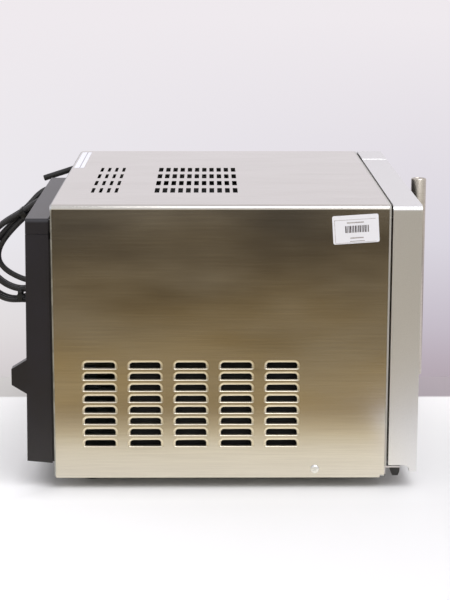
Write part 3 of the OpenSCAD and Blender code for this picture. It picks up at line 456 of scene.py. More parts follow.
# To reflected and bounced light the cloth is painted browner towards the front and pale before the door: a
# painted reflection of the room
towards = add(cloth, "MapRange", {"Value": spot["X"], "From Min": -0.58, "From Max": -0.24}).outputs[0]
browner = ramp(cloth, towards, [(0.0, "#957e4e"), (0.3, "#c4b287"), (0.55, "#efe8d2"), (1.0, "#f9f5e8")])
beside = add(cloth, "MapRange", {"Value": spot["Y"], "From Min": -0.21, "From Max": -0.17}).outputs[0]
mirrored = add(cloth, "MixRGB", {"Fac": beside, "Color1": linear("#f0eff1"), "Color2": browner}).outputs[0]
colour = add(cloth, "MixRGB", {"Fac": rays, "Color1": mirrored, "Color2": plain}).outputs[0]
join(cloth, colour, shader, "Base Color")
join(cloth, plain, shader, "Emission Color")
# A little light of its own, for the eye alone, which fades out under the cabinet
past = []
for axis, half in (("X", 0.25), ("Y", 0.215)):
    away_from = add(cloth, "Math", {0: spot[axis]}, operation="ABSOLUTE").outputs[0]
    past.append(add(cloth, "Math", {0: away_from, 1: half}, operation="SUBTRACT").outputs[0])
off = add(cloth, "Math", {0: past[0], 1: past[1]}, operation="MAXIMUM").outputs[0]
fill = add(cloth, "MapRange", {"Value": spot["Y"], "From Min": -0.27, "From Max": 0.3, "To Max": 0.28})
clear_of = add(cloth, "MapRange", {"Value": off, "From Min": -0.012, "From Max": 0.035,
                                   "To Max": fill.outputs[0]})
glow = add(cloth, "Math", {0: clear_of.outputs[0], 1: rays}, operation="MULTIPLY")
join(cloth, glow.outputs[0], shader, "Emission Strength")


def spread(name, x, length):
    """Spreads the cloth over a length of the ground in metres, with its middle at x"""
    pick()
    bpy.ops.mesh.primitive_plane_add(size=1, location=(x, 0, 0))
    plane = bpy.context.object
    plane.name = name
    plane.scale = (length, 2.6, 1)
    bpy.ops.object.transform_apply(location=True, rotation=True, scale=True)
    plane.data.materials.append(cloth)
    return plane


table = spread("table_top", -0.16, 0.84)
# The floor before the table, which only the eye sees: metal mirrors the room there
forecourt = spread("floor_before_table", -2.08, 3)
forecourt.visible_glossy = forecourt.visible_diffuse = forecourt.visible_shadow = False
forecourt.visible_transmission = False

room = bpy.data.worlds.new("room")
bpy.context.scene.world = room
room.use_nodes = True
around = add(room, "TexCoord").outputs["Generated"]
parts = add(room, "SeparateXYZ", {"Vector": around})
height = add(room, "MapRange", {"Value": parts.outputs["Z"], "From Min": -1.0, "From Max": 1.0}).outputs[0]
walls = ramp(room, height, [
    (0.20, "#d8cfb8"), (0.345, "#cdbf9f"), (0.372, "#b8a070"), (0.385, "#957840"), (0.397, "#54452c"),
    (0.41, "#464037"), (0.43, "#42403d"), (0.452, "#4e4b49"), (0.475, "#857e72"), (0.50, "#bdb49d"),
    (0.54, "#e2dccd"), (0.62, "#efedea"), (1.0, "#e8e8ea")])
left_side = ramp(room, height, [
    (0.0, "#ebeaeb"), (0.31, "#dfdddd"), (0.3706, "#c6c3c2"), (0.3807, "#d8d2d4"), (0.3918, "#e2dedf"),
    (0.4146, "#e9e7ec"), (0.4765, "#efeaee"), (1.0, "#f1eef1")])
right_side = ramp(room, height, [
    (0.0, "#eae8ea"), (0.31, "#d9d4d8"), (0.3706, "#ada2aa"), (0.3807, "#b8acb6"), (0.3918, "#c6bec9"),
    (0.4146, "#dbd7e0"), (0.4765, "#efeaee"), (1.0, "#f1eef1")])
sideways = add(room, "MapRange", {"Value": parts.outputs["Y"], "From Min": -0.12, "From Max": 0.12})
backdrop = add(room, "MixRGB", {"Fac": sideways.outputs[0], "Color1": right_side,
                                "Color2": left_side}).outputs[0]
facing = add(room, "MapRange", {"Value": parts.outputs["X"], "From Min": -0.25, "From Max": 0.35}).outputs[0]
rays = add(room, "LightPath").outputs["Is Camera Ray"]
lit = add(room, "MixRGB", {"Fac": facing, "Color1": walls, "Color2": backdrop})
seen = add(room, "MixRGB", {"Fac": rays, "Color1": lit.outputs[0], "Color2": backdrop})
join(room, seen.outputs[0], room.node_tree.nodes["Background"], "Color")
room.node_tree.nodes["Background"].inputs["Strength"].default_value = 1.0

soft = bpy.data.lights.new("soft_lamp", "AREA")
soft.shape = "RECTANGLE"
soft.size, soft.size_y, soft.energy = 1.8, 1.4, 26
lamp = bpy.data.objects.new("soft_lamp", soft)
bpy.context.scene.collection.objects.link(lamp)
lamp.location = (-1.1, -0.75, 1.9)
lamp.rotation_euler = (Vector((0, 0, 0.15)) - lamp.location).to_track_quat("-Z", "Y").to_euler()
bpy.context.scene.view_settings.view_transform = "Standard"

# --- Feet ---------------------------------------------------------------------
# Four black rubber feet, moulded with a ribbed rim round a sunk screw.
# Each is bolted under the base; the front pair stands a little closer together.

foot_places = [(-194.5, 162.8), (194.5, 162.8), (-180.5, -119.5), (180.5, -119.5)]
foot_shape = [(3.6, 5), (3.6, 1.6), (4.6, 0.9), (9.6, 0.9), (10.5, 0), (11.0, 0.4), (11.2, 2.6),
              (10.7, 3.0), (10.8, 3.6), (11.4, 4.1), (11.6, 6.4), (11.1, 6.8), (11.2, 7.4), (11.8, 7.9),
              (12, 12.4), (11.4, 13.3)]
feet = []
for x, y in foot_places:
    feet.append(stand(turned("foot", foot_shape, 40), Matrix.Translation((x * mm, y * mm, 0))))
# Rubber, moulded: dull black, with a slight grey dust in its grooves
rubber, shader = surface("moulded_rubber", "#1d1d1f", 0.75)
mottle(rubber, shader, noise(rubber, 0.006, detail=4), [(0.35, "#18181a"), (0.8, "#2b2a2a")])
bump(rubber, shader, noise(rubber, 0.0008, detail=1), 0.00006, 0.5)
dress(gather("rubber_feet", feet), "cabinet", "black_rubber", rubber, "feet")

# --- Base ---------------------------------------------------------------------
# Tray of 1.2 mm galvanised sheet, folded up at the front and the sides.
# It carries the chamber, the electronics and the cover.


def softened(node, name, width, segments=2, angle=30, flat=0.8):
    """A copy of a CAD node, merged, its flat faces made one within flat degrees, with its edges rounded"""
    pick()
    piece = nodes[node].copy()
    piece.data = nodes[node].data.copy()
    piece.parent = None
    for key in list(piece.keys()):
        del piece[key]
    bpy.context.scene.collection.objects.link(piece)
    piece.name = piece.data.name = name
    pick(piece)
    bpy.ops.object.mode_set(mode="EDIT")
    bpy.ops.mesh.select_all(action="SELECT")
    bpy.ops.mesh.remove_doubles(threshold=0.000004)
    if flat:
        bpy.ops.mesh.dissolve_limited(angle_limit=radians(flat))
    bpy.ops.object.mode_set(mode="OBJECT")
    return rounded(piece, width, segments, angle)


def dress_copy(node, name, body, slot, material, *rounding, **flat):
    """Dresses a softened copy of a CAD node in that node's place"""
    return dress(softened(node, name, *rounding, **flat), body, slot, material, node)


def coat(material, *cad_nodes):
    """Gives CAD nodes that stay as they are their material"""
    for node in cad_nodes:
        nodes[node].data.materials.clear()
        nodes[node].data.materials.append(material)


# Galvanised sheet: matt grey zinc with faint crystals about a centimetre across
zinc, shader = surface("galvanised_sheet", "#b3b5b7", 0.4, 1.0)
crystals = add(zinc, "TexVoronoi", {"Vector": place_on(zinc), "Scale": 1 / 0.012, "Randomness": 1.0})
flakes = add(zinc, "SeparateColor", {"Color": crystals.outputs["Color"]}).outputs["Red"]
mottle(zinc, shader, flakes, [(0.0, "#a5a8ab"), (1.0, "#bfc1c2")])
dulled = add(zinc, "MapRange", {"Value": flakes, "To Min": 0.34, "To Max": 0.46})
join(zinc, dulled.outputs[0], shader, "Roughness")
bump(zinc, shader, noise(zinc, 0.05), 0.0004, 0.3)
dress_copy("base_plate", "base_tray", "cabinet", "zinc_steel", zinc, 0.4)

# --- Cover --------------------------------------------------------------------
# One sheet of 0.8 mm brushed stainless steel, bent over at the top and hemmed below.
# Eight rows of five louvres are cut in each side, their edges rolled inwards, and two groups of slots
# in the top.

SHEET = 0.8
BEND, HEM = 5.5, 8
NOTCH_L, NOTCH_H = 5, 2.5
# The louvres' openings, the width of their rims, and the place of the rearmost, lowest one
LOUVRE_W, LOUVRE_H = 33.9, 6.8
RING = 2.6
LOUVRE_COLUMNS, LOUVRE_STEP_Y = 5, 50
LOUVRE_ROWS, LOUVRE_STEP_Z = 8, 12.6
LOUVRE_Y, LOUVRE_Z = REAR - 49.4, BASE + 35.7
# The slots in the top: their length, their spacing and the middle of the first column
SLOT_L, SLOT_STEP_X, SLOT_STEP_Y = 36, 59, 8.85
FIRST_SLOT = LEFT + 109.5


def louvre_outline(name):
    """The outline of a louvre's rolled rim, as one face in the plane X = 0"""
    pick()
    bpy.ops.mesh.primitive_plane_add(size=1, rotation=(0, -pi / 2, 0))
    face = bpy.context.object
    face.scale = ((LOUVRE_H + 2 * RING) * mm, (LOUVRE_W + 2 * RING) * mm, 1)
    face.location = (0, 0, LOUVRE_H / 2 * mm)
    bpy.ops.object.transform_apply(location=True, rotation=True, scale=True)
    choose(face, "VERT", lambda at, normal: at.z > 0)
    bpy.ops.mesh.bevel(offset=(LOUVRE_H / 2 + RING) * mm, segments=9, affect="VERTICES")
    choose(face, "VERT", lambda at, normal: at.z < 0)
    bpy.ops.mesh.bevel(offset=(RING + 0.3) * mm, segments=3, affect="VERTICES")
    face.name = face.data.name = name
    return face


def flatten_rim(piece):
    """The rim under the opening is less than half as wide as beside it"""
    choose(piece, "VERT", lambda at, normal: at.z < -0.01)
    bpy.ops.transform.resize(value=(1, 1, 0.42), center_override=(0, 0, 0))
    bpy.ops.object.mode_set(mode="OBJECT")


def repeat(piece, count, step):
    """Copies a piece count times, a step in millimetres apart"""
    apply(piece, "ARRAY", count=count, use_relative_offset=False, use_constant_offset=True,
          constant_offset_displace=tuple(part * mm for part in step))


def fill_side(piece, x):
    """Puts one louvre's piece in its rearmost, lowest place at x, and repeats it over the side"""
    stand(piece, Matrix.Translation((x * mm, LOUVRE_Y * mm, LOUVRE_Z * mm)))
    repeat(piece, LOUVRE_COLUMNS, (0, -LOUVRE_STEP_Y, 0))
    repeat(piece, LOUVRE_ROWS, (0, 0, LOUVRE_STEP_Z))


# The sheet as a box open in front, behind and below, its front corners notched and its hems turned in
cover = block("steel_cover", (LEFT, FRONT, BASE - HANG), (RIGHT, REAR, TOP))
choose(cover, "FACE", lambda at, normal: abs(normal.y) > 0.9 or normal.z < -0.9)
bpy.ops.mesh.delete(type="FACE")
choose(cover, "EDGE", lambda at, way: abs(way.y) > 0.9 and at.z > TOP - 1)
bpy.ops.mesh.bevel(offset=BEND * mm, segments=9)
bpy.ops.mesh.select_all(action="SELECT")
bpy.ops.mesh.bisect(plane_co=(0, (FRONT + NOTCH_L) * mm, 0), plane_no=(0, 1, 0))
bpy.ops.mesh.select_all(action="SELECT")
bpy.ops.mesh.bisect(plane_co=(0, 0, (BASE + NOTCH_H) * mm), plane_no=(0, 0, 1))
choose(cover, "FACE", lambda at, normal: at.y < FRONT + NOTCH_L and at.z < BASE + NOTCH_H)
bpy.ops.mesh.delete(type="FACE")
for side in (-1, 1):
    choose(cover, "EDGE", lambda at, way: abs(way.y) > 0.9 and at.z < BASE - 0.9 and at.x * side > 0)
    bpy.ops.mesh.extrude_edges_move(TRANSFORM_OT_translate={"value": (-HEM * side * mm, 0, 0)})
choose(cover, "EDGE",
       lambda at, way: abs(way.y) > 0.9 and at.z < BASE - 0.9 and abs(at.x) > RIGHT - 0.1)
bpy.ops.mesh.bevel(offset=1.1 * mm, segments=3)
finish_shell()
apply(cover, "SOLIDIFY", thickness=SHEET * mm, offset=-1, use_even_offset=True)

holes = louvre_outline("holes")
flatten_rim(holes)
choose(holes, "FACE", lambda at, normal: True)
bpy.ops.mesh.extrude_region_move(TRANSFORM_OT_translate={"value": (2.2 * RIGHT * mm, 0, 0)})
finish_shell()
fill_side(holes, -1.1 * RIGHT)

# Each group's rows, the width of its slots, and how far its middle lies from the rear
slots = []
for count, width, middle in ((11, 5.4, 155), (4, 3.6, 51.5)):
    first = REAR - middle - (count - 1) * SLOT_STEP_Y / 2
    slot = block("slot", (FIRST_SLOT - SLOT_L / 2, first - width / 2, TOP - 5),
                 (FIRST_SLOT + SLOT_L / 2, first + width / 2, TOP + 5))
    choose(slot, "EDGE", lambda at, way: abs(way.z) > 0.9)
    bpy.ops.mesh.bevel(offset=0.9 * mm, segments=3)
    bpy.ops.object.mode_set(mode="OBJECT")
    repeat(slot, count, (0, SLOT_STEP_Y, 0))
    repeat(slot, 4, (SLOT_STEP_X, 0, 0))
    slots.append(slot)
cutters = gather("cutters", [holes] + slots)
apply(cover, "BOOLEAN", object=cutters, operation="DIFFERENCE", solver="MANIFOLD")
bpy.data.objects.remove(cutters)
rounded(cover, 0.18, 1, 60)

louvre = louvre_outline("louvre")
choose(louvre, "FACE", lambda at, normal: True)
# The rim rolls inwards in ever steeper steps round the opening
for inwards, deeper in ((1.1, 0.12), (0.7, 0.26), (0.5, 0.4), (0.4, 0.55), (0.3, 0.85)):
    bpy.ops.mesh.inset(thickness=inwards * mm, depth=-deeper * mm)
bpy.ops.mesh.inset(thickness=0.15 * mm, depth=-0.8 * mm)
bpy.ops.mesh.delete(type="FACE")
flatten_rim(louvre)
apply(louvre, "SOLIDIFY", thickness=SHEET * 0.9 * mm, offset=-1, use_even_offset=False)
pick(louvre)
bpy.ops.object.shade_smooth_by_angle(angle=radians(50))
fill_side(louvre, LEFT)
apply(louvre, "MIRROR", use_axis=(True, False, False), use_mirror_merge=False)

# Stainless steel 1.4301, brushed along its length: warm grey, its reflections drawn out and gently waved
steel, shader = surface("brushed_stainless", "#d2cfcb", 0.2, 1.0)
hair = noise(steel, 0.0009, (0.6, 0.012, 1), detail=3, roughness=0.6)
cloud = noise(steel, 0.05, (1, 0.35, 1), detail=2)
mottle(steel, shader, hair, [(0.3, "#ccc8c4"), (0.7, "#d9d6d2")])
gloss = add(steel, "MapRange", {"Value": cloud, "From Min": 0.3, "From Max": 0.7,
                                "To Min": 0.13, "To Max": 0.2})
join(steel, gloss.outputs[0], shader, "Roughness")
dents = bump(steel, shader, noise(steel, 0.13, (1, 0.55, 1), detail=1), 0.0011, 1.0)
bump(steel, shader, hair, 0.000012, 0.35, dents)
dress(gather("steel_cover", [cover]), "cabinet", "brushed_cover", steel, "cover")
# The same steel where the press has rolled it over, painted paler as a highlight on the rims, its brushing
# broken up
rim_painted_highlight, shader = surface("rim_painted_highlight", "#e6dfd0", 0.33, 1.0)
bump(rim_painted_highlight, shader, noise(rim_painted_highlight, 0.0015), 0.00003, 0.5)
louvre.name = louvre.data.name = "louvres"
louvre.data.materials.append(rim_painted_highlight)
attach(louvre, "cabinet")

# --- Screws -------------------------------------------------------------------
# Pan-head sheet-metal screws with a cross recess, nickel-plated.
# One holds each side of the cover near its lower edge, and five hold the rear panel.

screws = []
cross = gather("cross", [block("bar", (-2.6, -0.5, 1.0), (2.6, 0.5, 5)),
                         block("bar", (-0.5, -2.6, 1.0), (0.5, 2.6, 5))])
head = turned("screw", [(1.9, -7), (1.9, 0), (4.8, 0), (4.8, 0.7), (4.5, 1.5), (3.7, 2.1), (2.2, 2.4),
                        (0.02, 2.45)], 36)
apply(head, "BOOLEAN", object=cross, operation="DIFFERENCE", solver="MANIFOLD")
bpy.data.objects.remove(cross)
rounded(head, 0.12, 1, 50)
screw_places = [((x, FRONT + 77.3, BASE + 9.2), (0, turn)) for x, turn in ((LEFT, -pi / 2), (RIGHT, pi / 2))]
screw_places += [((x, BACK, z), (-pi / 2, 0)) for x, z in (
    (LEFT + 25, TOP - 8), (-43.4, TOP - 8), (RIGHT - 14, TOP - 8), (RIGHT - 14, BASE + 22),
    (RIGHT - 14, BASE + 175))]
for place, (about_x, about_y) in screw_places:
    screw = head.copy()
    screw.data = head.data.copy()
    bpy.context.scene.collection.objects.link(screw)
    facing = Matrix.Rotation(about_y, 4, "Y") @ Matrix.Rotation(about_x, 4, "X")
    driven = Matrix.Rotation(0.5, 4, "Z")
    screws.append(stand(screw, Matrix.Translation(Vector(place) * mm) @ facing @ driven))
bpy.data.objects.remove(head)
dress(gather("pan_head_screws", screws), "cabinet", "screw_steel", plating, "cover_screws")

# --- Rear panel and front frame -----------------------------------------------
# The rear panel closes the cabinet with 1.5 mm galvanised sheet, with slots for both fans.
# The front frame is a 2.2 mm powder-coated steel plate round the chamber's mouth, which the door meets.

dress_copy("rear_panel", "rear_panel", "cabinet", "zinc_steel", zinc, 0.35, flat=0)
# Stainless steel 1.4016, rolled bright: cool and even, with soft reflections
bright, shader = surface("bright_stainless", "#cfcdca", 0.24, 1.0)
bump(bright, shader, noise(bright, 0.06), 0.0004, 0.4)
# Polyester powder coat on the frame: light warm grey with a fine orange peel
powder, shader = surface("grey_powder_coat", "#a9a7a3", 0.42, 0.0, Coat_Weight=0.2, Coat_Roughness=0.25)
mottle(powder, shader, noise(powder, 0.03), [(0.3, "#a4a29e"), (0.7, "#afadaa")])
bump(powder, shader, noise(powder, 0.0016, detail=1), 0.00005, 0.5)
dress_copy("front_frame", "front_frame", "cabinet", "frame_grey", powder, 0.5)

# --- Chamber ------------------------------------------------------------------
# A box of stainless sheet with a port for the fan behind and a pressed baffle over it.
# A black-faced glass fibre blanket is wrapped round it.

# Stainless steel, heat-tinted by use: satin grey turning straw-coloured towards the heaters
tinted, shader = surface("heat_tinted_steel", "#a8a59d", 0.36, 1.0)
stains = noise(tinted, 0.11, detail=3)
mottle(tinted, shader, stains, [(0.3, "#a9a8a4"), (0.6, "#b0a890"), (0.85, "#9d9078")])
bump(tinted, shader, noise(tinted, 0.0012, (0.05, 1, 1)), 0.00001, 0.3)
dress_copy("chamber", "chamber_box", "cabinet", "chamber_steel", tinted, 0.6, flat=0)
dress_copy("fan_baffle", "fan_baffle_plate", "cabinet", "chamber_steel", tinted, 0.3, 1)
coat(tinted, "fan_plenum", "rack_rails", "thermocouple")

# Glass fibre, needled: soft and quite without gloss, coloured near black as painted shade for the cabinet's
# dark inside, seen through the louvres and slots
blanket_as_shade, shader = surface("blanket_painted_shade_black", "#1d1d1f", 0.95, Sheen_Weight=0.1)
bump(blanket_as_shade, shader, noise(blanket_as_shade, 0.004, detail=5, roughness=0.7), 0.0012, 0.7)
coat(blanket_as_shade, "insulation")

# --- Heaters ------------------------------------------------------------------
# Six quartz tubes with a resistance coil in each, held by glazed ceramic ends at the chamber's walls.
# A sheathed ring heater lies round the convection fan.

WALL = 1
COIL_L, COIL_R, TURNS, STEPS = 300, 2.6, 66, 10
(chamber_left, chamber_front, floor), (chamber_right, chamber_back, roof) = corners("chamber")
chamber_depth = chamber_back - WALL - chamber_front
tube_x = (chamber_left + chamber_right) / 2
tube_y = [chamber_front + chamber_depth * share for share in (0.22, 0.5, 0.78)]
tube_z = [floor + WALL + 17, roof - WALL - 17]
coils = []
for y in tube_y:
    for z in tube_z:
        coil = []
        for i in range(TURNS * STEPS + 1):
            angle = 2 * pi * i / STEPS
            coil.append(((tube_x + (i / (TURNS * STEPS) - 0.5) * COIL_L) * mm,
                         (y + COIL_R * cos(angle)) * mm, (z + COIL_R * sin(angle)) * mm))
        coils.append(coil)
pick(wire("coils", 0.35, 1, coils))
bpy.ops.object.convert(target="MESH")
wound = gather("heater_coils", [bpy.context.object])
# Iron-chromium-aluminium wire, oxidised by heat: dull brown grey
wire_finish, shader = surface("resistance_wire", "#5f5550", 0.55, 0.8)
bump(wire_finish, shader, noise(wire_finish, 0.001), 0.00003, 0.4)
wound.data.materials.append(wire_finish)
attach(wound, "cabinet")

# Fused quartz, drawn: milky and see-through, with faint lines along the tube
quartz, shader = surface("drawn_quartz", "#efe6d8", 0.22, Transmission_Weight=0.75, IOR=1.46)
bump(quartz, shader, noise(quartz, 0.002, (0.04, 1, 1)), 0.00005, 0.5)
coat(quartz, "quartz_heaters")
# Steatite, pressed and glazed: warm white and glossy
steatite, shader = surface("glazed_steatite", "#ece7db", 0.25)
mottle(steatite, shader, noise(steatite, 0.004), [(0.3, "#e4decf"), (0.7, "#f0ece2")])
dress_copy("heater_caps", "ceramic_ends", "cabinet", "ceramic", steatite, 0.8)
# Nickel-chromium sheath, annealed: dark greenish brown oxide
oxide, shader = surface("oxidised_sheath", "#5d5146", 0.5, 0.7)
mottle(oxide, shader, noise(oxide, 0.01, detail=3), [(0.3, "#4c4239"), (0.7, "#6c6151")])
coat(oxide, "ring_heater")

# --- Rack ---------------------------------------------------------------------
# Shelf of welded wire, chrome-plated. It slides on two folded rails fixed to the chamber's sides,
# and follows the door as far as it lets it out.

# Chromium plate on steel wire: bright, straw-tinted by heat
chrome, shader = surface("chromed_wire", "#d5d2cb", 0.14, 1.0)
mottle(chrome, shader, noise(chrome, 0.03), [(0.35, "#d8d6d1"), (0.7, "#cabf9f")])
dress_copy("rack", "wire_rack", "rack", "chrome_wire", chrome, 0.15, 1, 60)

# --- Convection fan -----------------------------------------------------------
# A pressed aluminium impeller in the plenum and a cooling blade behind it, both fixed on one steel
# shaft, which a shaded-pole motor on the rear panel turns.

# Aluminium sheet, pressed: pale satin with fine rolling lines
pressed, shader = surface("pressed_aluminium", "#c4c6c8", 0.32, 1.0)
bump(pressed, shader, noise(pressed, 0.001, (1, 0.1, 1)), 0.00001, 0.4)
dress_copy("fan_impeller", "impeller", "convection_fan", "fan_aluminium", pressed, 0.25, 1, 50)
coat(pressed, "motor_blade", "heat_sink")
coat(plating, "fan_shaft")
# Cast and plated motor body: blue-grey with a fine cast grain
cast, shader = surface("cast_motor_body", "#7a7d82", 0.45, 0.85)
bump(cast, shader, noise(cast, 0.0015), 0.0001, 0.5)
dress_copy("fan_motor", "fan_motor", "cabinet", "motor_steel", cast, 1.2)

# --- Electronics bay ----------------------------------------------------------
# Behind a galvanised wall stand the power supply, the solid-state relays on their heat sink, the
# terminal block and a cooling fan, which blows out through the rear panel.

coat(zinc, "compartment_wall")
dress_copy("power_supply", "power_supply_case", "cabinet", "zinc_steel", zinc, 0.8)
# PBT, moulded: dull black with a slight grain
grained, shader = surface("grained_black_plastic", "#242528", 0.5)
bump(grained, shader, noise(grained, 0.0007), 0.00005, 0.6)
coat(grained, "relays", "interlock_switches")
dress_copy("cooling_fan_frame", "cooling_fan_frame", "cabinet", "relay_plastic", grained, 1.0)
dress_copy("cooling_fan_rotor", "cooling_fan_rotor", "cooling_fan", "relay_plastic", grained, 0.4)
# Polyamide, moulded: ivory
ivory, shader = surface("ivory_polyamide", "#e2decf", 0.45)
bump(ivory, shader, noise(ivory, 0.001), 0.00003, 0.5)
coat(ivory, "terminal_block", "hinge_bushes", "latch_tongues")

# --- Hinges -------------------------------------------------------------------
# Stamped plates with riveted pins, screwed to the front frame; the door turns on them in bushes.
# A rubber cap covers the lower rivet.

# Steel, stamped and zinc-plated: pale, slightly violet grey
plated, shader = surface("zinc_plated_steel", "#c4c1c4", 0.3, 1.0)
bump(plated, shader, noise(plated, 0.003), 0.00005, 0.5)
dress_copy("upper_hinge", "upper_hinge_plate", "cabinet", "screw_steel", plated, 0.35)
dress_copy("lower_hinge", "lower_hinge_plate", "cabinet", "screw_steel", plated, 0.35)
dress_copy("hinge_cap", "hinge_cap", "cabinet", "black_rubber", rubber, 0.7, 3)

# --- Door ---------------------------------------------------------------------
# A folded and painted steel frame whose front hangs below its sides, with a tinted outer glass,
# a clear inner glass in a stainless panel, a silicone gasket, two magnets and two latch tongues.

# Metallic lacquer on steel, sprayed and stoved: light silver grey with a fine sparkle
lacquer, shader = surface("silver_lacquer", "#dcdcde", 0.34, 0.8, Coat_Weight=0.25, Coat_Roughness=0.15)
sparkle = noise(lacquer, 0.0006, detail=1)
mottle(lacquer, shader, sparkle, [(0.35, "#d7d7d9"), (0.65, "#e2e2e4")])
bump(lacquer, shader, noise(lacquer, 0.002, detail=3), 0.00003, 0.5)
face = dress_copy("door_frame", "door_frame", "door", "front_plastic", lacquer, 0.7, 3)
# Black enamel, printed and stoved on the door's face to within 9 or 10 mm of its edges: deep and glossy
enamel, shader = surface("black_enamel", "#131314", 0.12, Coat_Weight=0.4, Coat_Roughness=0.04)
bump(enamel, shader, noise(enamel, 0.02), 0.00003, 0.3)
face.data.materials.append(enamel)
(door_left, door_face, door_foot), (door_right, _, door_top) = corners("door_frame")
ENAMEL_X, ENAMEL_Z = (door_left + 9, door_right - 9.05), (door_foot + 10, door_top - 9.2)


def on_face(at, normal):
    """Whether a face of the door frame lies in its front"""
    return normal.y < -0.9 and at.y < door_face + 0.3


choose(face, "FACE", on_face)
for way, edges in (((1, 0, 0), ENAMEL_X), ((0, 0, 1), ENAMEL_Z)):
    for edge in edges:
        bpy.ops.mesh.bisect(plane_co=Vector(way) * edge * mm, plane_no=way)
        choose(face, "FACE", on_face)
choose(face, "FACE", lambda at, normal: on_face(at, normal) and ENAMEL_X[0] < at.x < ENAMEL_X[1]
       and ENAMEL_Z[0] < at.z < ENAMEL_Z[1])
face.active_material_index = 1
bpy.ops.object.material_slot_assign()
bpy.ops.object.mode_set(mode="OBJECT")
dress_copy("door_inner_panel", "door_inner_panel", "door", "chamber_steel", bright, 0.3)

# Float glass, body-tinted grey outside and clear inside
smoked, shader = surface("smoked_glass", "#33363a", 0.03, Transmission_Weight=0.92, IOR=1.5)
bump(smoked, shader, noise(smoked, 0.09), 0.0001, 0.2)
clear, shader = surface("clear_glass", "#c9d4d0", 0.02, Transmission_Weight=0.95, IOR=1.5)
bump(clear, shader, noise(clear, 0.09), 0.0001, 0.2)
dress_copy("outer_glass", "outer_glass_pane", "door", "dark_glass", smoked, 0.5)
dress_copy("inner_glass", "inner_glass_pane", "door", "dark_glass", clear, 0.5)

# Silicone rubber, extruded: brick-brown and dull
silicone, shader = surface("silicone_gasket", "#5d3c34", 0.6)
bump(silicone, shader, noise(silicone, 0.001), 0.00005, 0.6)
dress_copy("door_gasket", "door_gasket", "door", "gasket_rubber", silicone, 0.7, 3)
# Sintered ferrite, in a black case
ferrite, shader = surface("sintered_ferrite", "#3b3c40", 0.55, 0.3)
bump(ferrite, shader, noise(ferrite, 0.001), 0.0001, 0.6)
coat(ferrite, "door_magnets")

# --- Handle -------------------------------------------------------------------
# A satin aluminium tube, its ends plugged and chamfered.
# Two turned posts hold it off the door's face.

(_, bar_front, foot), (_, bar_back, tip) = corners("handle_bar")
(post_left, _, _), (post_right, _, _) = corners("handle_posts")
bar = turned("bar", [(7.6, foot), (8.9, foot + 0.2), (9.5, foot + 1.1), (9.5, tip - 1.1), (8.9, tip - 0.2),
                     (7.9, tip), (7.7, tip - 0.4), (7.2, tip - 0.5), (0.02, tip - 0.5)], 56)
stand(bar, Matrix.Translation(((post_left + post_right) / 2 * mm, (bar_front + bar_back) / 2 * mm, 0)))
# Aluminium, turned and anodised: warm satin grey with fine rings round the tube
anodised, shader = surface("anodised_aluminium", "#bfb8ae", 0.3, 1.0)
rings = noise(anodised, 0.0008, (0.02, 0.02, 1), detail=3)
mottle(anodised, shader, rings, [(0.3, "#b8b1a7"), (0.7, "#c8c1b8")])
bump(anodised, shader, rings, 0.00001, 0.5)
dress(bar, "door", "handle_metal", anodised, "handle_bar")
dress_copy("handle_posts", "handle_posts", "door", "handle_metal", anodised, 0.3)

# --- Control panel ------------------------------------------------------------
# The same lacquered steel beside the door, with a smoked display window and the board behind it.
# Below are five moulded keys and a red power rocker.

dress_copy("control_panel", "control_panel", "cabinet", "front_plastic", lacquer, 0.7, 3)
# Acrylic, moulded and printed black at the back
acrylic, shader = surface("smoked_acrylic", "#101418", 0.06, Coat_Weight=0.5, Coat_Roughness=0.03)
bump(acrylic, shader, noise(acrylic, 0.04), 0.00005, 0.2)
dress_copy("display_window", "display_window", "cabinet", "display", acrylic, 0.4)
# Epoxy glass laminate under green solder mask
mask, shader = surface("green_solder_mask", "#1f5a3a", 0.35)
bump(mask, shader, noise(mask, 0.002), 0.00005, 0.5)
coat(mask, "controller_board")
# ABS, moulded: light grey with a fine matt grain
keycap, shader = surface("matt_grey_abs", "#dcdbd8", 0.48)
bump(keycap, shader, noise(keycap, 0.0006), 0.00004, 0.6)
for key in ("start_button", "stop_button", "up_button", "down_button", "select_button"):
    dress_copy(key, key + "_cap", key, "key_grey", keycap, 0.7, 3)
# Polycarbonate, moulded: translucent red
rocker_red, shader = surface("red_polycarbonate", "#9e1d1d", 0.25, Coat_Weight=0.3)
bump(rocker_red, shader, noise(rocker_red, 0.003), 0.00004, 0.4)
dress_copy("power_rocker", "power_rocker_cap", "power_rocker", "rocker_red", rocker_red, 0.6, 3)

# --- Rear duct ----------------------------------------------------------------
# A black moulded box over the fan motor, with wall spacers and a clip-on cap. A stop post beside it
# keeps the cabinet off the wall.

# ABS, moulded with a spark-eroded grain: very dark violet grey
eroded, shader = surface("eroded_black_abs", "#17151b", 0.42, Coat_Weight=0.2, Coat_Roughness=0.3)
mottle(eroded, shader, noise(eroded, 0.05, detail=3), [(0.3, "#0f0d17"), (0.75, "#181625")])
bump(eroded, shader, noise(eroded, 0.0009, detail=2), 0.00012, 0.6)
dress_copy("rear_duct", "rear_duct", "cabinet", "duct_plastic", eroded, 0.6, 2, flat=0)
dress_copy("rear_duct_cap", "rear_duct_cap", "cabinet", "duct_plastic", eroded, 1.0, 3)
dress_copy("rear_stop_post", "rear_stop_post", "cabinet", "black_plastic", moulding, 0.8, 3)

# --- Labels -------------------------------------------------------------------
# White polyester stickers on the side and the top, stuck flat.
# Only plain bars, dashes and frame lines are printed on them.

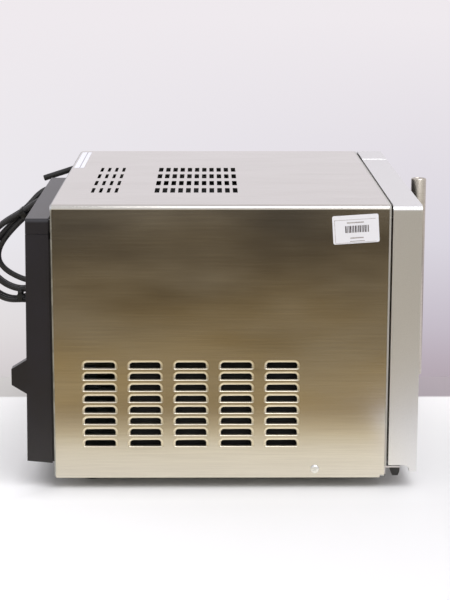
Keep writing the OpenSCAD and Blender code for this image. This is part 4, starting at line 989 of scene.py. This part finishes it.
# Polyester film with an eggshell face
film, shader = surface("white_polyester_film", "#eff1fd", 0.4)
bump(film, shader, noise(film, 0.01), 0.00005, 0.3)
stickers = softened("labels", "white_stickers", 0.02, 1, 120)
choose(stickers, "EDGE", lambda at, way: at.x < LEFT + 0.1 and abs(way.x) > 0.9)
bpy.ops.mesh.bevel(offset=2 * mm, segments=4)
bpy.ops.object.mode_set(mode="OBJECT")
dress(stickers, "cabinet", "label", film, "labels")

# Thermal print: brownish black bars and grey dashes, which say nothing
ink, shader = surface("thermal_print", "#3b3338", 0.6)
mottle(ink, shader, noise(ink, 0.002), [(0.35, "#332c31"), (0.7, "#564d53")])
pale_ink, shader = surface("pale_print", "#a5a0a5", 0.6)
mottle(pale_ink, shader, noise(pale_ink, 0.002), [(0.3, "#9a959a"), (0.7, "#bab6ba")])
bars, dashes = [], []
at = 11.5
for i in range(15):
    wide = (1.4, 0.7, 1.0)[i % 3]
    bars.append(block("bar", (-0.05, at - wide, -3.6), (0.02, at, 3.9)))
    at -= wide + (0.6, 0.9, 0.5, 0.8)[i % 4]
for low, high in (((-9, 6.6), (9.5, 7.9)), ((-8, -10.2), (6.5, -8.8)), ((-9, -13.4), (7, -12.6)),
                  ((-22, 10.3), (23, 10.7)), ((-22, -14.7), (22.5, -14.3)), ((22.4, -14.5), (22.8, 10.5))):
    dashes.append(block("dash", (-0.04, *low), (0.02, *high)))
tilted = (Matrix.Translation(Vector((LEFT - 0.15, FRONT + 36, TOP - 26.3)) * mm)
          @ Matrix.Rotation(radians(-3.7), 4, "X"))
bars = stand(gather("printed_bars", bars), tilted)
side_dashes = stand(gather("side_dashes", dashes), tilted)
top_dash = block("top_dash", (LEFT + 305, REAR - 9.5, TOP + 0.12), (LEFT + 460, REAR - 8.3, TOP + 0.18))
dashes = gather("printed_dashes", [side_dashes, top_dash])
for marks, print_ink in ((bars, ink), (dashes, pale_ink)):
    marks.data.materials.clear()
    marks.data.materials.append(print_ink)
    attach(marks, "cabinet")
